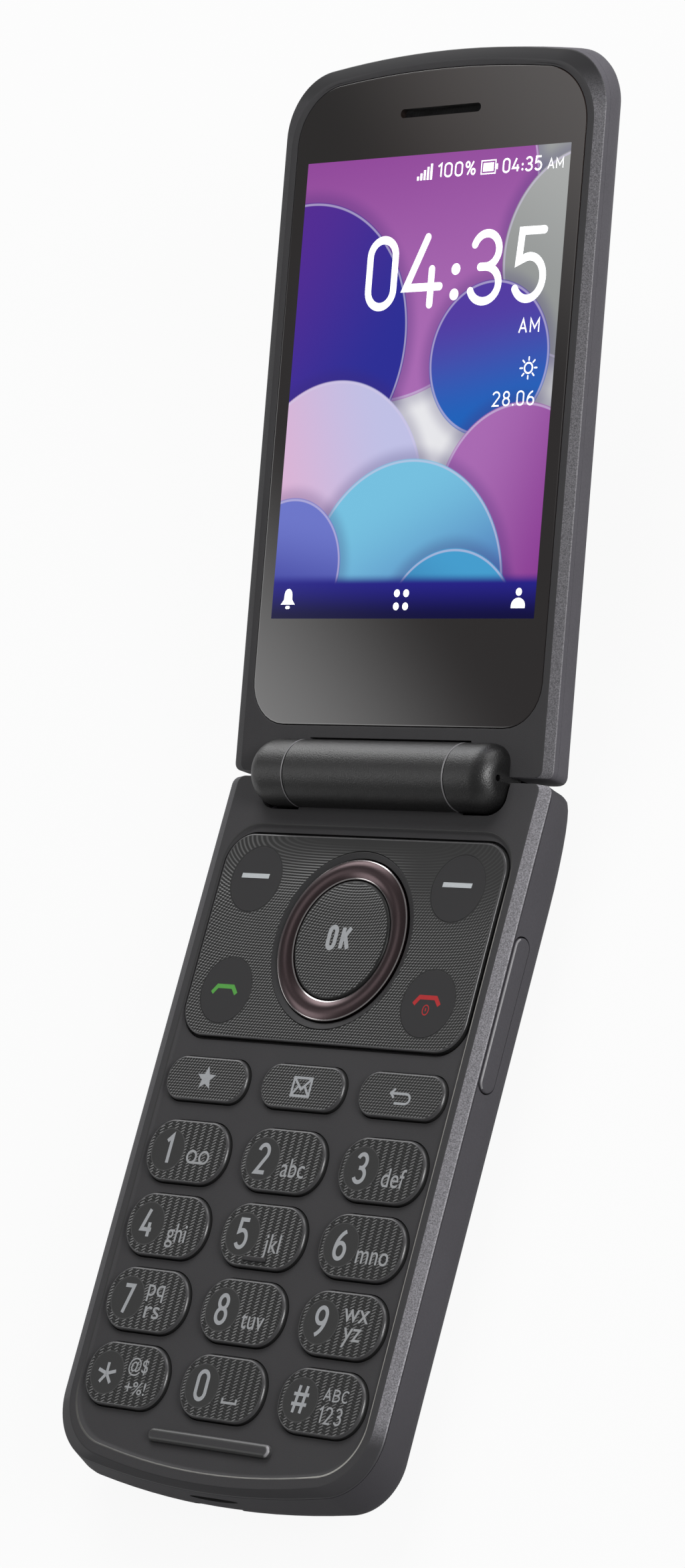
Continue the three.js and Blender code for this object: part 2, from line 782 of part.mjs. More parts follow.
// A key cap: retaining flange, straight sides through the deck and a bevelled top
function keyCap(key) {
  const flange = prism(key.shape(flangeWidth, flangeCornerSteps), flangeBottom, flangeTop);
  const ring = (inset, level) => atLevel(key.shape(-inset), level);
  const cap = loft([
    ring(0, flangeTop - flangeThickness / 2), ring(0, key.top - keyBevelDrop),
    ring(keyBevel / 2, key.top - keyBevelDrop / 4), ring(keyBevel, key.top),
  ]);
  return cap.add(flange);
}

function cornerKeyCap(key) {
  const flange = prism(key.shape(flangeWidth, flangeSteps), flangeBottom, flangeTop);
  return prism(key.shape(0), flangeTop - flangeThickness / 2, key.top).add(flange);
}

function okWidth() {
  return ringWidth - 2 * (ringBand + okGap);
}

function okLength() {
  return ringLength - 2 * (ringBand + okGap);
}

function okKey() {
  const place = navCentre;
  const shape = (grow) => ellipsePath(place, okWidth() + 2 * grow, okLength() + 2 * grow);
  const ring = (inset, level) => atLevel(shape(-inset), level);
  const top = faceLevel + okStand;
  return loft([
    ring(0, flangeBottom), ring(0, top - keyBevelDrop), ring(keyBevel / 2, top - keyBevelDrop / 4),
    ring(keyBevel, top),
  ]);
}

// The trim ring, half round on top, with its foot through the deck
function navRing() {
  const half = ringBand / 2;
  const rise = ringStand - navPlateStand;
  const low = deckBottom - ringTiltGap + fitGap;
  const rim = faceLevel + navPlateStand;
  const rings = [];
  for (let i = 0; i <= ringRows; i += 1) {
    const angle = Math.PI * (i / ringRows);
    rings.push({ inset: half - half * Math.cos(angle), level: rim + rise * Math.sin(angle) });
  }
  const band = [{ inset: 0, level: low }, ...rings, { inset: ringBand, level: low }];
  const count = ringSteps;
  const positions = [];
  const index = [];
  for (const { inset, level } of band) {
    for (let i = 0; i < count; i += 1) {
      const angle = (2 * Math.PI * i) / count;
      positions.push(
        navCentre.x + (ringWidth / 2 - inset) * Math.cos(angle),
        navCentre.y + (ringLength / 2 - inset) * Math.sin(angle),
        level,
      );
    }
  }
  band.forEach((_, row) => {
    const next = (row + 1) % band.length;
    for (let i = 0; i < count; i += 1) {
      const j = (i + 1) % count;
      const [a, b] = [row * count + i, row * count + j];
      const [c, d] = [next * count + i, next * count + j];
      index.push(a, b, d, a, d, c);
    }
  });
  const geometry = new THREE.BufferGeometry();
  geometry.setAttribute("position", new THREE.Float32BufferAttribute(positions, 3));
  geometry.setIndex(index);
  return toSolid(geometry);
}

// The web under the ring, which presses the four switches
function navActuator() {
  const top = deckBottom - ringTiltGap;
  const flange = prism(ringShape(ringFlangeWidth), flangeBottom, top);
  const inner = ellipsePath(navCentre, okWidth() + 2 * okGap, okLength() + 2 * okGap);
  return flange.subtract(prism(inner, flangeBottom - overrun, overrun));
}

function volumeRocker() {
  const yLow = -(rockerNear + rockerLength);
  const yHigh = -rockerNear;
  const outline = roundedPath(yLow, rockerBottom, yHigh, rockerTop, rockerWidth / 2);
  const bar = new THREE.ExtrudeGeometry(new THREE.Shape(outline), {
    depth: halfWidth + rockerStand - rockerInner, bevelEnabled: false,
  });
  const turn = new THREE.Matrix4().makeBasis(
    new THREE.Vector3(0, 1, 0), new THREE.Vector3(0, 0, 1), new THREE.Vector3(1, 0, 0),
  );
  bar.applyMatrix4(turn);
  bar.translate(rockerInner, 0, 0);
  const flange = block(
    rockerInner - rockerFlange, rockerInner, yLow - rockerFlange, yHigh + rockerFlange,
    rockerBottom, deckBottom - fitGap,
  );
  return toSolid(bar).add(flange);
}

function screw(place, headTop, tip) {
  const shaft = disc(place, screwShaftRadius, headTop - screwHeadThickness / 2, tip);
  return disc(place, screwHeadRadius, headTop - screwHeadThickness, headTop).add(shaft);
}

function usbPort() {
  const half = portWidth / 2;
  const yHigh = -(baseLength - baseSection.farArch - portLength);
  const yLow = -(baseLength - baseSection.farArch);
  const shell = block(-half, half, yLow, yHigh, portBottom, portTop);
  const mouth = block(
    -half + portWall, half - portWall, yLow - overrun, yHigh - portWall,
    portBottom + portWall, portTop - portWall,
  );
  const tongue = block(
    -half + 3 * portWall, half - 3 * portWall, yLow + portWall, yHigh,
    portTop - 3 * portWall, portTop - 2 * portWall,
  );
  return shell.subtract(mouth).add(tongue);
}

function earpieceCentre() {
  return { x: 0, y: lidLength - lensFarInset - earSlotFar };
}

function lensOutline(grow, level) {
  return halfOutline(1, level, {
    half: halfWidth - lensInset + grow, near: lensNear - grow, far: lidLength - lensFarInset + grow,
    nearRadius: lensNearRadius + grow, farRadius: lensFarRadius + grow, arch: lensArch,
  });
}

function displayWindow() {
  const low = faceLevel - lensThickness;
  const solid = loft([lensOutline(0, low), lensOutline(0, faceLevel)]);
  const slot = centredPath(earpieceCentre(), earSlotLength, earSlotWidth, earSlotWidth / 2);
  return solid.subtract(prism(slot, low - overrun, overrun));
}

const ledgeTop = faceLevel - lensThickness - fitGap;
const moduleBottom = ledgeTop - displayThickness;

function moduleEdges() {
  const half = halfWidth - lensInset - displaySide + displayBorder;
  return {
    xLow: -half, xHigh: half, yLow: lensNear + displayChin - displayBorder,
    yHigh: lidLength - lensFarInset - displayForehead + displayBorder,
  };
}

function displayModule() {
  const edges = moduleEdges();
  return prism(
    roundedPath(edges.xLow, edges.yLow, edges.xHigh, edges.yHigh, displayBorder),
    moduleBottom, ledgeTop,
  );
}

function endKnuckle(side) {
  const corner = arcPoints(
    knuckleRadius - knuckleEndRadius, hingeHalf - knuckleEndRadius, knuckleEndRadius, 0,
    Math.PI / 2, 4,
  );
  const solid = turnedX([[0, endKnuckleStart], [knuckleRadius, endKnuckleStart], ...corner,
    [0, hingeHalf]]);
  return side > 0 ? solid : solid.rotate([0, 0, 180]);
}

function lidFrontHousing() {
  const rim = halfBody(1, lidSection).intersect(slab(faceLevel - lidRimDepth, faceLevel));
  const plate = halfBody(1, lidSection, shellWall + fitGap, hingeBeam + fitGap)
    .intersect(slab(moduleBottom, faceLevel - lidRimDepth / 2));
  let solid = rim.add(plate);
  solid = solid.subtract(loft([
    lensOutline(seamGap, ledgeTop), lensOutline(seamGap, overrun),
  ]));
  const edges = moduleEdges();
  solid = solid.subtract(block(
    edges.xLow - fitGap, edges.xHigh + fitGap, edges.yLow - fitGap, edges.yHigh + fitGap,
    moduleBottom - overrun, overrun,
  ));
  const ear = earpieceCentre();
  const earRoom = centredPath(
    ear, earSpeakerLength + 2 * fitGap, earSpeakerWidth + 2 * fitGap, fitGap,
  );
  solid = solid.subtract(prism(earRoom, moduleBottom - overrun, ledgeTop - earMeshThickness));
  const earMeshRoom = centredPath(
    ear, earSlotLength + 2 * (earMeshMargin + fitGap), earSlotWidth + 2 * (earMeshMargin + fitGap),
    earSlotWidth,
  );
  solid = solid.subtract(prism(earMeshRoom, ledgeTop - earMeshThickness - fitGap, overrun));
  const reach = middleHalf + knuckleSplit;
  solid = solid.subtract(rod(pocketRadius, -reach, reach));
  for (const side of [-1, 1]) {
    solid = solid.add(endKnuckle(side));
  }
  const boreEnd = endKnuckleStart + endBoreDepth;
  solid = solid.subtract(rod(endBoreRadius, endKnuckleStart - overrun, boreEnd));
  solid = solid.subtract(
    rod(knuckleBoreRadius, -endKnuckleStart - bushBoreDepth, -endKnuckleStart + overrun),
  );
  const pin = rod(pinHoleRadius, hingeHalf - pinHoleDepth, hingeHalf + overrun, roundSteps / 2);
  return solid.subtract(pin.translate([0, 0, pinHoleRise]));
}

function outerWindowEdges(grow) {
  const half = outerWindowWidth / 2 + grow;
  return roundedPath(
    -half, outerWindowNear - grow, half, outerWindowNear + outerWindowLength + grow,
    outerWindowRadius + grow,
  );
}

function lidRearHousing() {
  const wallTop = faceLevel - lidRimDepth - seamGap;
  let solid = halfBody(1, lidSection).intersect(slab(lidBackLevel - overrun, wallTop));
  const inner = halfBody(1, lidSection, shellWall, hingeBeam).intersect(
    slab(lidBackLevel + shellWall, overrun),
  );
  solid = solid.subtract(inner);
  const reach = hingeHalf + fitGap;
  solid = solid.subtract(rod(pocketRadius, -reach, reach));
  const seat = lidBackLevel + outerWindowThickness + fitGap;
  solid = solid.subtract(prism(outerWindowEdges(seamGap), lidBackLevel - overrun, seat));
  solid = solid.subtract(prism(outerWindowEdges(-outerDisplayMargin), lidBackLevel - overrun, overrun));
  const camera = { x: 0, y: cameraNear };
  solid = solid.subtract(disc(camera, cameraRadius + seamGap, lidBackLevel - overrun, seat));
  return solid.subtract(
    disc(camera, cameraRingRadius, lidBackLevel - overrun, lidBackLevel + 2 * shellWall),
  );
}

function outerDisplay() {
  const top = lidBackLevel + shellWall + fitGap + outerDisplayThickness;
  return prism(outerWindowEdges(-outerDisplayMargin / 2), top - outerDisplayThickness, top);
}

function lidBoard() {
  const half = halfWidth - lidBoardInset;
  const top = moduleBottom - fitGap;
  return prism(
    roundedPath(-half, lidBoardNear, half, lidLength - lidBoardFarInset, lidBoardInset),
    top - lidBoardThickness, top,
  );
}

function cameraModule() {
  const low = lidBackLevel + shellWall + fitGap;
  const high = moduleBottom - 2 * fitGap - lidBoardThickness;
  return prism(
    centredPath({ x: 0, y: cameraNear }, cameraModuleSize, cameraModuleSize, fitGap), low, high,
  );
}

function lidMagnet() {
  const low = lidBackLevel + shellWall + fitGap;
  return prism(
    centredPath({ x: 0, y: lidLength - magnetFarInset }, magnetLength, magnetWidth, fitGap),
    low, low + magnetThickness,
  );
}

function hingeCartridge() {
  const end = middleHalf - fitGap;
  const radius = knuckleBoreRadius - fitGap;
  return rod(radius, end - cartridgeLength, end);
}

function hingeShaft() {
  return rod(shaftRadius, middleHalf, endKnuckleStart + endBoreDepth - fitGap, 6);
}

function hingeBush() {
  const radius = knuckleBoreRadius - fitGap;
  const low = -(endKnuckleStart + bushBoreDepth - fitGap);
  const high = -(middleHalf - bushReach);
  return rod(radius, low, high).subtract(rod(radius - bushWall, low - overrun, high + overrun));
}

// Base, hanging from the hinge axis
const baseGroup = new THREE.Group();
baseGroup.position.set(0, hingeY, hingeZ);
baseGroup.add(
  named("base_front_housing", baseFrontHousing(), "shell"),
  named("base_rear_housing", baseRearHousing(), "shell"),
  named("battery_cover", batteryCover(), "cover"),
  named("battery", battery(), "cell"),
  named("main_board", mainBoard(), "board"),
  named("key_mat", keyMat(), "rubber"),
  named("nav_plate", navPlate(), "key"),
  named("hinge_cartridge", hingeCartridge(), "steel"),
  named("usb_port", usbPort(), "steel"),
);
[...nearScrews, ...farScrews].forEach((place, i) => {
  const near = i < nearScrews.length;
  const headTop = near ? nearHeadTop - fitGap : floorBottom - fitGap;
  const tip = near ? faceLevel - baseRimDepth - fitGap : deckBottom - fitGap;
  baseGroup.add(named(`base_screw_${i + 1}`, screw(place, headTop, tip), "steel"));
});
const sim = simPlace();
const simTop = boardBottom - fitGap;
baseGroup.add(named("sim_holder", prism(
  centredPath(sim, simWidth, simLength, fitGap), simTop - simThickness, simTop,
), "steel"));
const shieldAt = shieldPlace();
baseGroup.add(named("rf_shield", prism(
  centredPath(shieldAt, shieldWidth, shieldLength, fitGap), simTop - shieldThickness, simTop,
), "steel"));
const speakerAt = speakerPlace();
const speakerTop = coverFloor + fitGap + speakerThickness;
baseGroup.add(named("loudspeaker", prism(
  centredPath(speakerAt, speakerWidth, speakerLength, bayWall), coverFloor + fitGap, speakerTop,
), "dark"));
baseGroup.add(named("vibration_motor", disc(
  motorPlace(), motorRadius, coverFloor + fitGap, coverFloor + fitGap + motorThickness,
), "steel"));
const microphoneAt = microphonePlace();
baseGroup.add(named("microphone", disc(
  microphoneAt, microphoneRadius, boardTop + fitGap, boardTop + fitGap + microphoneThickness,
), "steel"));
for (const key of keys) {
  baseGroup.add(named(key.name, keyCap(key), "key"));
}
for (const key of cornerKeys) {
  baseGroup.add(named(key.name, cornerKeyCap(key), "key"));
}
baseGroup.add(
  named("key_ok", okKey(), "key"),
  named("nav_ring", navRing(), "ring"),
  named("nav_actuator", navActuator(), "rubber"),
  named("volume_rocker", volumeRocker(), "shell"),
);

// Lid, swung up about the hinge axis
const lidGroup = new THREE.Group();
lidGroup.position.copy(baseGroup.position);
lidGroup.rotation.x = THREE.MathUtils.degToRad(180 - openAngle);
const ear = earpieceCentre();
const earSpeakerTop = ledgeTop - earMeshThickness - fitGap;
lidGroup.add(
  named("lid_front_housing", lidFrontHousing(), "shell"),
  named("lid_rear_housing", lidRearHousing(), "shell"),
  named("display_window", displayWindow(), "lens"),
  named("display_module", displayModule(), "screen"),
  named("lid_board", lidBoard(), "board"),
  named("earpiece_mesh", prism(centredPath(
    ear, earSlotLength + 2 * earMeshMargin, earSlotWidth + 2 * earMeshMargin, earSlotWidth,
  ), ledgeTop - earMeshThickness, ledgeTop), "dark"),
  named("earpiece_speaker", prism(centredPath(
    ear, earSpeakerLength, earSpeakerWidth, fitGap,
  ), earSpeakerTop - earSpeakerThickness, earSpeakerTop), "steel"),
  named("outer_window", prism(
    outerWindowEdges(0), lidBackLevel, lidBackLevel + outerWindowThickness,
  ), "lens"),
  named("outer_display", outerDisplay(), "screen"),
  named("camera_lens", disc(
    { x: 0, y: cameraNear }, cameraRadius, lidBackLevel, lidBackLevel + outerWindowThickness,
  ), "lens"),
  named("camera_module", cameraModule(), "dark"),
  named("hinge_shaft", hingeShaft(), "steel"),
  named("hinge_bush", hingeBush(), "dark"),
  named("lid_magnet", lidMagnet(), "steel"),
);

const phone = new THREE.Group();
phone.add(baseGroup, lidGroup);

export default phone;
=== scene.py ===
"""A clamshell mobile phone lying open on its back: fine shells, keys, screen and finishes.

Shapes are drawn in millimetres in the frame of one half: X to the right of the keypad, Y from the
hinge axis towards the lid (so the base lies at negative Y), Z up from the hinge axis. PLACES turns
them into metres in the frame of the CAD model.
"""
import json
import math

import bmesh
import bpy
from mathutils import Matrix, Vector


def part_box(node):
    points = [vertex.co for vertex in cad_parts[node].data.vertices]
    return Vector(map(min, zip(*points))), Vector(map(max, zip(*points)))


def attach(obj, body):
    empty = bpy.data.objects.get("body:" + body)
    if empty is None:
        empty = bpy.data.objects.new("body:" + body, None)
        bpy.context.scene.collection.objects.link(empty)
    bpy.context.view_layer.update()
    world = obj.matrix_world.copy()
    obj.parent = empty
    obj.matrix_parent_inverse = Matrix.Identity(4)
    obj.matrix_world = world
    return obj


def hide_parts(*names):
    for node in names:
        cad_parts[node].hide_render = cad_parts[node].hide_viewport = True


MM = 0.001
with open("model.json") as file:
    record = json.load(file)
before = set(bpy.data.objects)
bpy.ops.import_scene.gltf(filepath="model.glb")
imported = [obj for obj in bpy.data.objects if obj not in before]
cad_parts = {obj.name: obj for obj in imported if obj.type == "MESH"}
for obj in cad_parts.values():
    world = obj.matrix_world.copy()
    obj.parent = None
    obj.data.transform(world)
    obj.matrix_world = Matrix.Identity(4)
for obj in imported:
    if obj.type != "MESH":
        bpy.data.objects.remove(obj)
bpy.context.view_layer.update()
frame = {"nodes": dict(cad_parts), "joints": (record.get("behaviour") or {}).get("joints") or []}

# Driving sizes of the phone, in millimetres
PHONE_WIDTH = 51.7
BASE_LENGTH = 89.7
LID_LENGTH = 89.4
OPEN_ANGLE = 165
FACE = -0.5
NEAR_END_GAP = 0.3
FAR_CORNER_RADIUS = 8.1
NEAR_CORNER_RADIUS = 1
WALL_TIGHTENING = 1.2
BACK_TIGHTENING = 3
HALF = PHONE_WIDTH / 2
BASE_SECTION = dict(
    length=BASE_LENGTH, thickness=10, bulge=0.35, strip_run=1.5, strip_drop=0.6, wall_drop=3.9,
    side_curve=10.7, far_curve=6, far_lean=0.9, far_strip=0.55, near_curve=4, near_lean=0,
    near_taper=12, near_narrowing=0.6, far_arch=1.5, side=-1,
)
LID_SECTION = dict(
    length=LID_LENGTH, thickness=7.6, bulge=0, strip_run=1.49, strip_drop=0.45, wall_drop=2.1,
    side_curve=11.7, far_curve=7, far_lean=0.4, far_strip=1, near_curve=1.2, near_lean=1.1,
    near_taper=0, near_narrowing=0, far_arch=1.2, side=1,
)
SHELL_WALL = 1.2
SEAM = 0.07
FILLET = 0.12
FRONT_INNER_NEAR = 6.8
BASE_INNER_NEAR = 6.2
LID_INNER_NEAR = 6.4
COVER_WALL = 0.9
SOUND_SLOT = (9, 0.9, 0.44)
SOUND_SLOT_PITCH = 1.7
OVERRUN = 1
PORT_REACH = 3
PORT_GAP = 0.12
SLIT_X = 0.9
SLIT_WIDTH = 7.8
SLIT_HEIGHT = 0.85
SLIT_LEVEL = -2.85
SLIT_DEPTH = 1

# Hinge barrel
KNUCKLE_RADIUS = 4.22
POCKET_RADIUS = 4.55
HINGE_HALF = 19.5
POCKET_HALF = HINGE_HALF + 0.33
MIDDLE_HALF = 13
KNUCKLE_SPLIT = 0.12
KNUCKLE_END_RUN = 2.7
KNUCKLE_END_DROP = 2.2
PIN_HOLE = 0.8
PIN_HOLE_LEVEL = 1.55
PIN_HOLE_DEPTH = 1.2

# Keypad tray and deck
TRAY_HALF = HALF - 2.45
TRAY_NEAR = 6.5
TRAY_FAR = BASE_LENGTH - 3
TRAY_DEPTH = 0.3
TRAY_SLOPE = 0.4
TRAY_NEAR_RADIUS = 5.2
TRAY_FAR_RADIUS = 7
DECK = FACE - TRAY_DEPTH
DECK_BOTTOM = DECK - 1.2
BASE_RIM = FACE - 0.8
LID_RIM = FACE - 1.25
COVER_TOP = FACE - 7.6
RIB_LENGTH = 19.7
RIB_FAR = TRAY_FAR - 2.8
RIB_NEAR = RIB_FAR - 1.65
RIB_TOP = DECK + 0.65
RIB_RADIUS = 0.82
RIB_EDGE = (0.5, 0.42)

# Keys
KEY_GAP = 0.25
KEY_SPREAD = 0.14
KEY_TOP = FACE + 0.35
KEY_EDGE = (0.36, 0.6)
KEY_FOOT = -2.8
COLUMN_GAP = 2.685
ROW_GAP = 1.63
PLATE_HALF = TRAY_HALF - 0.6
PLATE_NEAR = TRAY_NEAR + 1.35
PLATE_LENGTH = 26.15
PLATE_FAR = PLATE_NEAR + PLATE_LENGTH
PLATE_TOP = FACE + 0.2
PLATE_RADIUS = 4
PLATE_THICKNESS = 0.9
PLATE_SEAT_GAP = 0.35
PLATE_SEAT_DEPTH = 1.2
PLATE_EDGE = (0.28, 0.25)
PLATE_FLOOR = -4
NAV_Y = -(PLATE_NEAR + PLATE_FAR) / 2
FUNCTION_DEPTH = 5.4
FUNCTION_NEAR = PLATE_FAR + 2.78
NUMBERS_NEAR = FUNCTION_NEAR + FUNCTION_DEPTH + 2.64
NUMBERS_FAR = RIB_NEAR - 1.84
KEY_DEPTH = (NUMBERS_FAR - NUMBERS_NEAR - 3 * ROW_GAP) / 4
KEY_WIDTH = (2 * (TRAY_HALF - 1.065) - 2 * COLUMN_GAP) / 3
COLUMN_PITCH = KEY_WIDTH + COLUMN_GAP
ROW_PITCH = KEY_DEPTH + ROW_GAP
KEY_RADIUS = 3.6
FUNCTION_RADIUS = 2.5
RING_WIDTH = 20
RING_LENGTH = 20.5
RING_BAND = 2.55
RING_FOOT = -1.9
RING_OPENING = (RING_WIDTH + 1.9, RING_LENGTH + 2.2)
RING_TOP = FACE + 0.6
CENTRE_TOP = FACE + 0.4
CENTRE_GAP = 0.12
CENTRE_EDGE = (0.5, 0.3)
CORNER_KEY_WIDTH = 8.1
CORNER_KEY_LENGTH = 8.4
CORNER_KEY_X = PLATE_HALF - 6.4
CORNER_SHIFT = -0.25
CORNER_SIGN_SHIFT = -0.2
CORNER_KEY_Y = PLATE_LENGTH / 2 - 5.9
CORNER_TOP = PLATE_TOP + 0.01
CORNER_EDGE = (0.03, 0.03)
CORNER_GAP = 0.03
TACTILE_BAR = (3.7, 0.62, 0.3)
TACTILE_RISE = 0.32
TACTILE_EDGE = (0.16, 0.16)

# Side key
ROCKER_LENGTH = 19
ROCKER_Y = -(18.7 + ROCKER_LENGTH / 2)
ROCKER_HEIGHT = 2.6
ROCKER_Z = FACE - 0.95 - ROCKER_HEIGHT / 2
ROCKER_FACE = HALF + 0.45
ROCKER_INNER = HALF - 1.5
ROCKER_GAP = 0.16
ROCKER_CROWN = 0.3
ROCKER_POCKET = 1.2

# Lid
LENS_HALF = HALF - 2.45
LENS_NEAR = 6.06
LENS_FAR = LID_LENGTH - 2.75
LENS_THICKNESS = 0.9
LENS_NEAR_RADIUS = 5.5
LENS_FAR_RADIUS = 7.5
LENS_ARCH = 0.9
LENS_SEAT = 0.07
DISPLAY_HALF = LENS_HALF - 2.07
DISPLAY_NEAR = LENS_NEAR + 13.1
DISPLAY_FAR = LENS_FAR - 10.5
MODULE_BORDER = 1.5
MODULE_LEVEL = -3.6
EAR_Y = LENS_FAR - 5.2
EAR_LENGTH = 13
EAR_WIDTH = 1.1
OUTER_WIDTH = 26
OUTER_LENGTH = 36
OUTER_Y = 37
OUTER_RADIUS = 3
CAMERA_WIDTH = 6.8
CAMERA_Y = 12.6
PANE_GAP = 0.08
PANE_THICKNESS = 0.7
PANE_EDGE = (0.15, 0.15)
CAMERA_EDGE = (0.3, 0.2)

# Moulded patterns, painted with highlights on their ridges and shade between them, and print
WEAVE_COLUMN = 1.14
WEAVE_START = 0.58
WEAVE_SHARE = 0.52
WEAVE_RISE = 0.31
WEAVE_ROW = 0.385
DOT_ROW = 0.353
DOT_PITCH = 0.465
SPOT_RADIUS = 2.65
SPOT_X = -3.13
NUMERAL_X = -3.15
PLAIN_TONE = 46
# Tones of the patterns' painted shade between the ridges and painted highlight on them
GROUND_SHADE_TONE = 31
RIDGE_HIGHLIGHT_TONE = 127
SPOT_TONE = 50
SMOOTH_PATCH = 0.25
PRINT_RISE = 0.014
PRINT_STEP = 0.00004
CLOCK_Y = 61.7
CLOCK_HEIGHT = 9.3

# Lights: place, size, power and whether mirrors see them; the spots: direction, angles and level
WORLD_LEVEL = 0.24
STUDIO_BASE = 0.22
AREA_LIGHTS = [
    ("right_light", (0.8, 0.12, 0.38), (0.3, 0.3), 5, True),
    ("top_light", (-0.05, 0.72, 0.55), (0.5, 0.4), 6, False),
]
LIGHT_TARGET = (0, 0.02, 0)
STUDIO_SPOTS = [
    ((-0.79, -0.22, 0.58), 10.2, 13.7, 2.1),
    ((-0.5, 0.1, 0.86), 10.5, 13.7, 0.75),
    ((0.35, 0.87, 0.32), 6, 18, 4),
    ((-0.6, 0.72, 0.33), 6, 22, 4),
]
FLOOR_SIZE = 3
FLOOR_LEVEL = -0.0001

# Camera
CAMERA_PLACE_MM = (406.316, -106.839, 435.784)
CAMERA_FORWARD = (-0.675198, 0.244802, -0.69583)
CAMERA_UP = (-0.021931, 0.936244, 0.350664)
SENSOR = 36
PHOTO_HEIGHT = 2343
FOCAL_PIXELS = 7514.06

# Fineness
CORNER_STEPS = 20
NEAR_STEPS = 8
FAR_STEPS = 14
FILLET_STEPS = 4
EDGE_STEPS = 6
END_STEPS = 14
CURVE_STEPS = 14
RING_STEPS = 16
ROUND_STEPS = 96
SHARP_ANGLE = math.radians(28)
QUARTER = math.pi / 2

hinge = next(joint for joint in frame["joints"] if joint["name"] == "lid_hinge")
BASE_PLACE = Matrix.Translation(Vector(hinge["pos_m"]))
LID_PLACE = BASE_PLACE @ Matrix.Rotation(math.radians(180 - OPEN_ANGLE), 4, "X")
PLACES = {"base": BASE_PLACE, "lid": LID_PLACE}


# Meshes; faces take their finish by number from these stand-ins until dress() sets the real ones
SPARE = [bpy.data.materials.new(f"spare_{i}") for i in range(4)]


def mesh_object(name, vertices, faces, half, face_materials=()):
    mesh = bpy.data.meshes.new(name)
    matrix = PLACES[half] @ Matrix.Scale(MM, 4)
    mesh.from_pydata([matrix @ Vector(v) for v in vertices], [], faces)
    for index in range(1 + max(face_materials or [0])):
        mesh.materials.append(SPARE[index])
    for polygon, index in zip(mesh.polygons, face_materials):
        polygon.material_index = index
    finish_mesh(mesh)
    return linked(name, mesh)


def linked(name, data):
    obj = bpy.data.objects.new(name, data)
    bpy.context.scene.collection.objects.link(obj)
    return obj


def finish_mesh(mesh):
    mesh.validate()
    mesh.shade_smooth()
    mesh.set_sharp_from_angle(angle=SHARP_ANGLE)


def loft(name, rings, half, materials=None, closed=False):
    """Body through rings, lowest first, each counterclockwise seen from above."""
    count, rows = len(rings[0]), len(rings)
    faces, marks = [], []
    for row in range(rows if closed else rows - 1):
        low, high = row * count, (row + 1) % rows * count
        for i in range(count):
            j = (i + 1) % count
            faces.append((low + i, low + j, high + j, high + i))
            marks.append(materials[row] if materials else 0)
    if not closed:
        faces.append(tuple(reversed(range(count))))
        faces.append(tuple(range((rows - 1) * count, rows * count)))
        marks += [materials[0] if materials else 0, materials[-1] if materials else 0]
    return mesh_object(name, [point for ring in rings for point in ring], faces, half, marks)


def join(target, pieces):
    """Adds the meshes of pieces to target's and removes them."""
    joined = bmesh.new()
    joined.from_mesh(target.data)
    for piece in pieces:
        joined.from_mesh(piece.data)
        drop(piece)
    joined.to_mesh(target.data)
    joined.free()
    finish_mesh(target.data)
    return target


def drop(obj):
    mesh = obj.data
    bpy.data.objects.remove(obj)
    bpy.data.meshes.remove(mesh)


def evaluated_mesh(obj):
    bpy.context.view_layer.update()
    return bpy.data.meshes.new_from_object(obj.evaluated_get(bpy.context.evaluated_depsgraph_get()))


def cut(target, cutters):
    """Cuts all cutters, which don't meet each other, from target in one go, and removes them."""
    tool = join(cutters[0], cutters[1:]) if len(cutters) > 1 else cutters[0]
    modifier = target.modifiers.new("cut", "BOOLEAN")
    modifier.operation = "DIFFERENCE"
    modifier.solver = "EXACT"
    modifier.object = tool
    mesh = evaluated_mesh(target)
    target.modifiers.clear()
    old = target.data
    mesh.name = old.name
    target.data = mesh
    bpy.data.meshes.remove(old)
    drop(tool)
    finish_mesh(mesh)
    return target


# Outlines
def arc(cx, cy, rx, ry, start, end, steps):
    return [
        (cx + rx * math.cos(start + (end - start) * i / steps),
         cy + ry * math.sin(start + (end - start) * i / steps))
        for i in range(steps + 1)
    ]


def half_outline(side, level, half, near, far, near_radius, far_radius, arch, near_run=None):
    """Plan outline of a half: square near end, arched far end; side is 1 for the lid, -1 the base."""
    run = near_radius if near_run is None else near_run
    shoulder = far - arch
    top = QUARTER - math.atan(2 * arch / half)
    near_right = arc(half - near_radius, near + run, near_radius, run, -QUARTER, 0, NEAR_STEPS)
    far_right = arc(half - far_radius, shoulder - far_radius, far_radius, far_radius, 0, top,
                    CORNER_STEPS)
    edge_x, edge_y = far_right[-1]
    edge = []
    for i in range(1, FAR_STEPS):
        x = edge_x - 2 * edge_x * i / FAR_STEPS
        edge.append((x, far - (far - edge_y) * (x / edge_x) ** 2))
    far_left = [(-x, y) for x, y in reversed(far_right)]
    near_left = [(-x, y) for x, y in reversed(near_right)]
    points = [(x, side * y, level) for x, y in near_right + far_right + edge + far_left + near_left]
    return points if side > 0 else points[::-1]


def section_ring(section, drop, strip_inset=0.0, share=0.0, offset=0.0):
    """Ring of a half's shell: drop below the inner face, set in by the strip, the curve or a wall."""
    wall_drop = section["wall_drop"]
    wall_share = min(1, max(0, drop - section["strip_drop"]) / wall_drop)
    bulge = section["bulge"] * math.sin(math.pi * min(1, drop / wall_drop / 2)) * (1 - share)
    return half_outline(
        section["side"], FACE - drop,
        half=HALF - offset - strip_inset - share * section["side_curve"] + bulge,
        near=NEAR_END_GAP + offset + share * section["near_curve"]
        - section["near_lean"] * drop / section["thickness"],
        far=section["length"] - offset - strip_inset * section["far_strip"]
        - share * section["far_curve"] - section["far_lean"] * (1 - wall_share),
        near_radius=NEAR_CORNER_RADIUS + wall_share * section["near_narrowing"],
        near_run=NEAR_CORNER_RADIUS + wall_share * section["near_taper"],
        far_radius=FAR_CORNER_RADIUS - offset / 2 - wall_share * WALL_TIGHTENING
        - share * BACK_TIGHTENING,
        arch=section["far_arch"],
    )


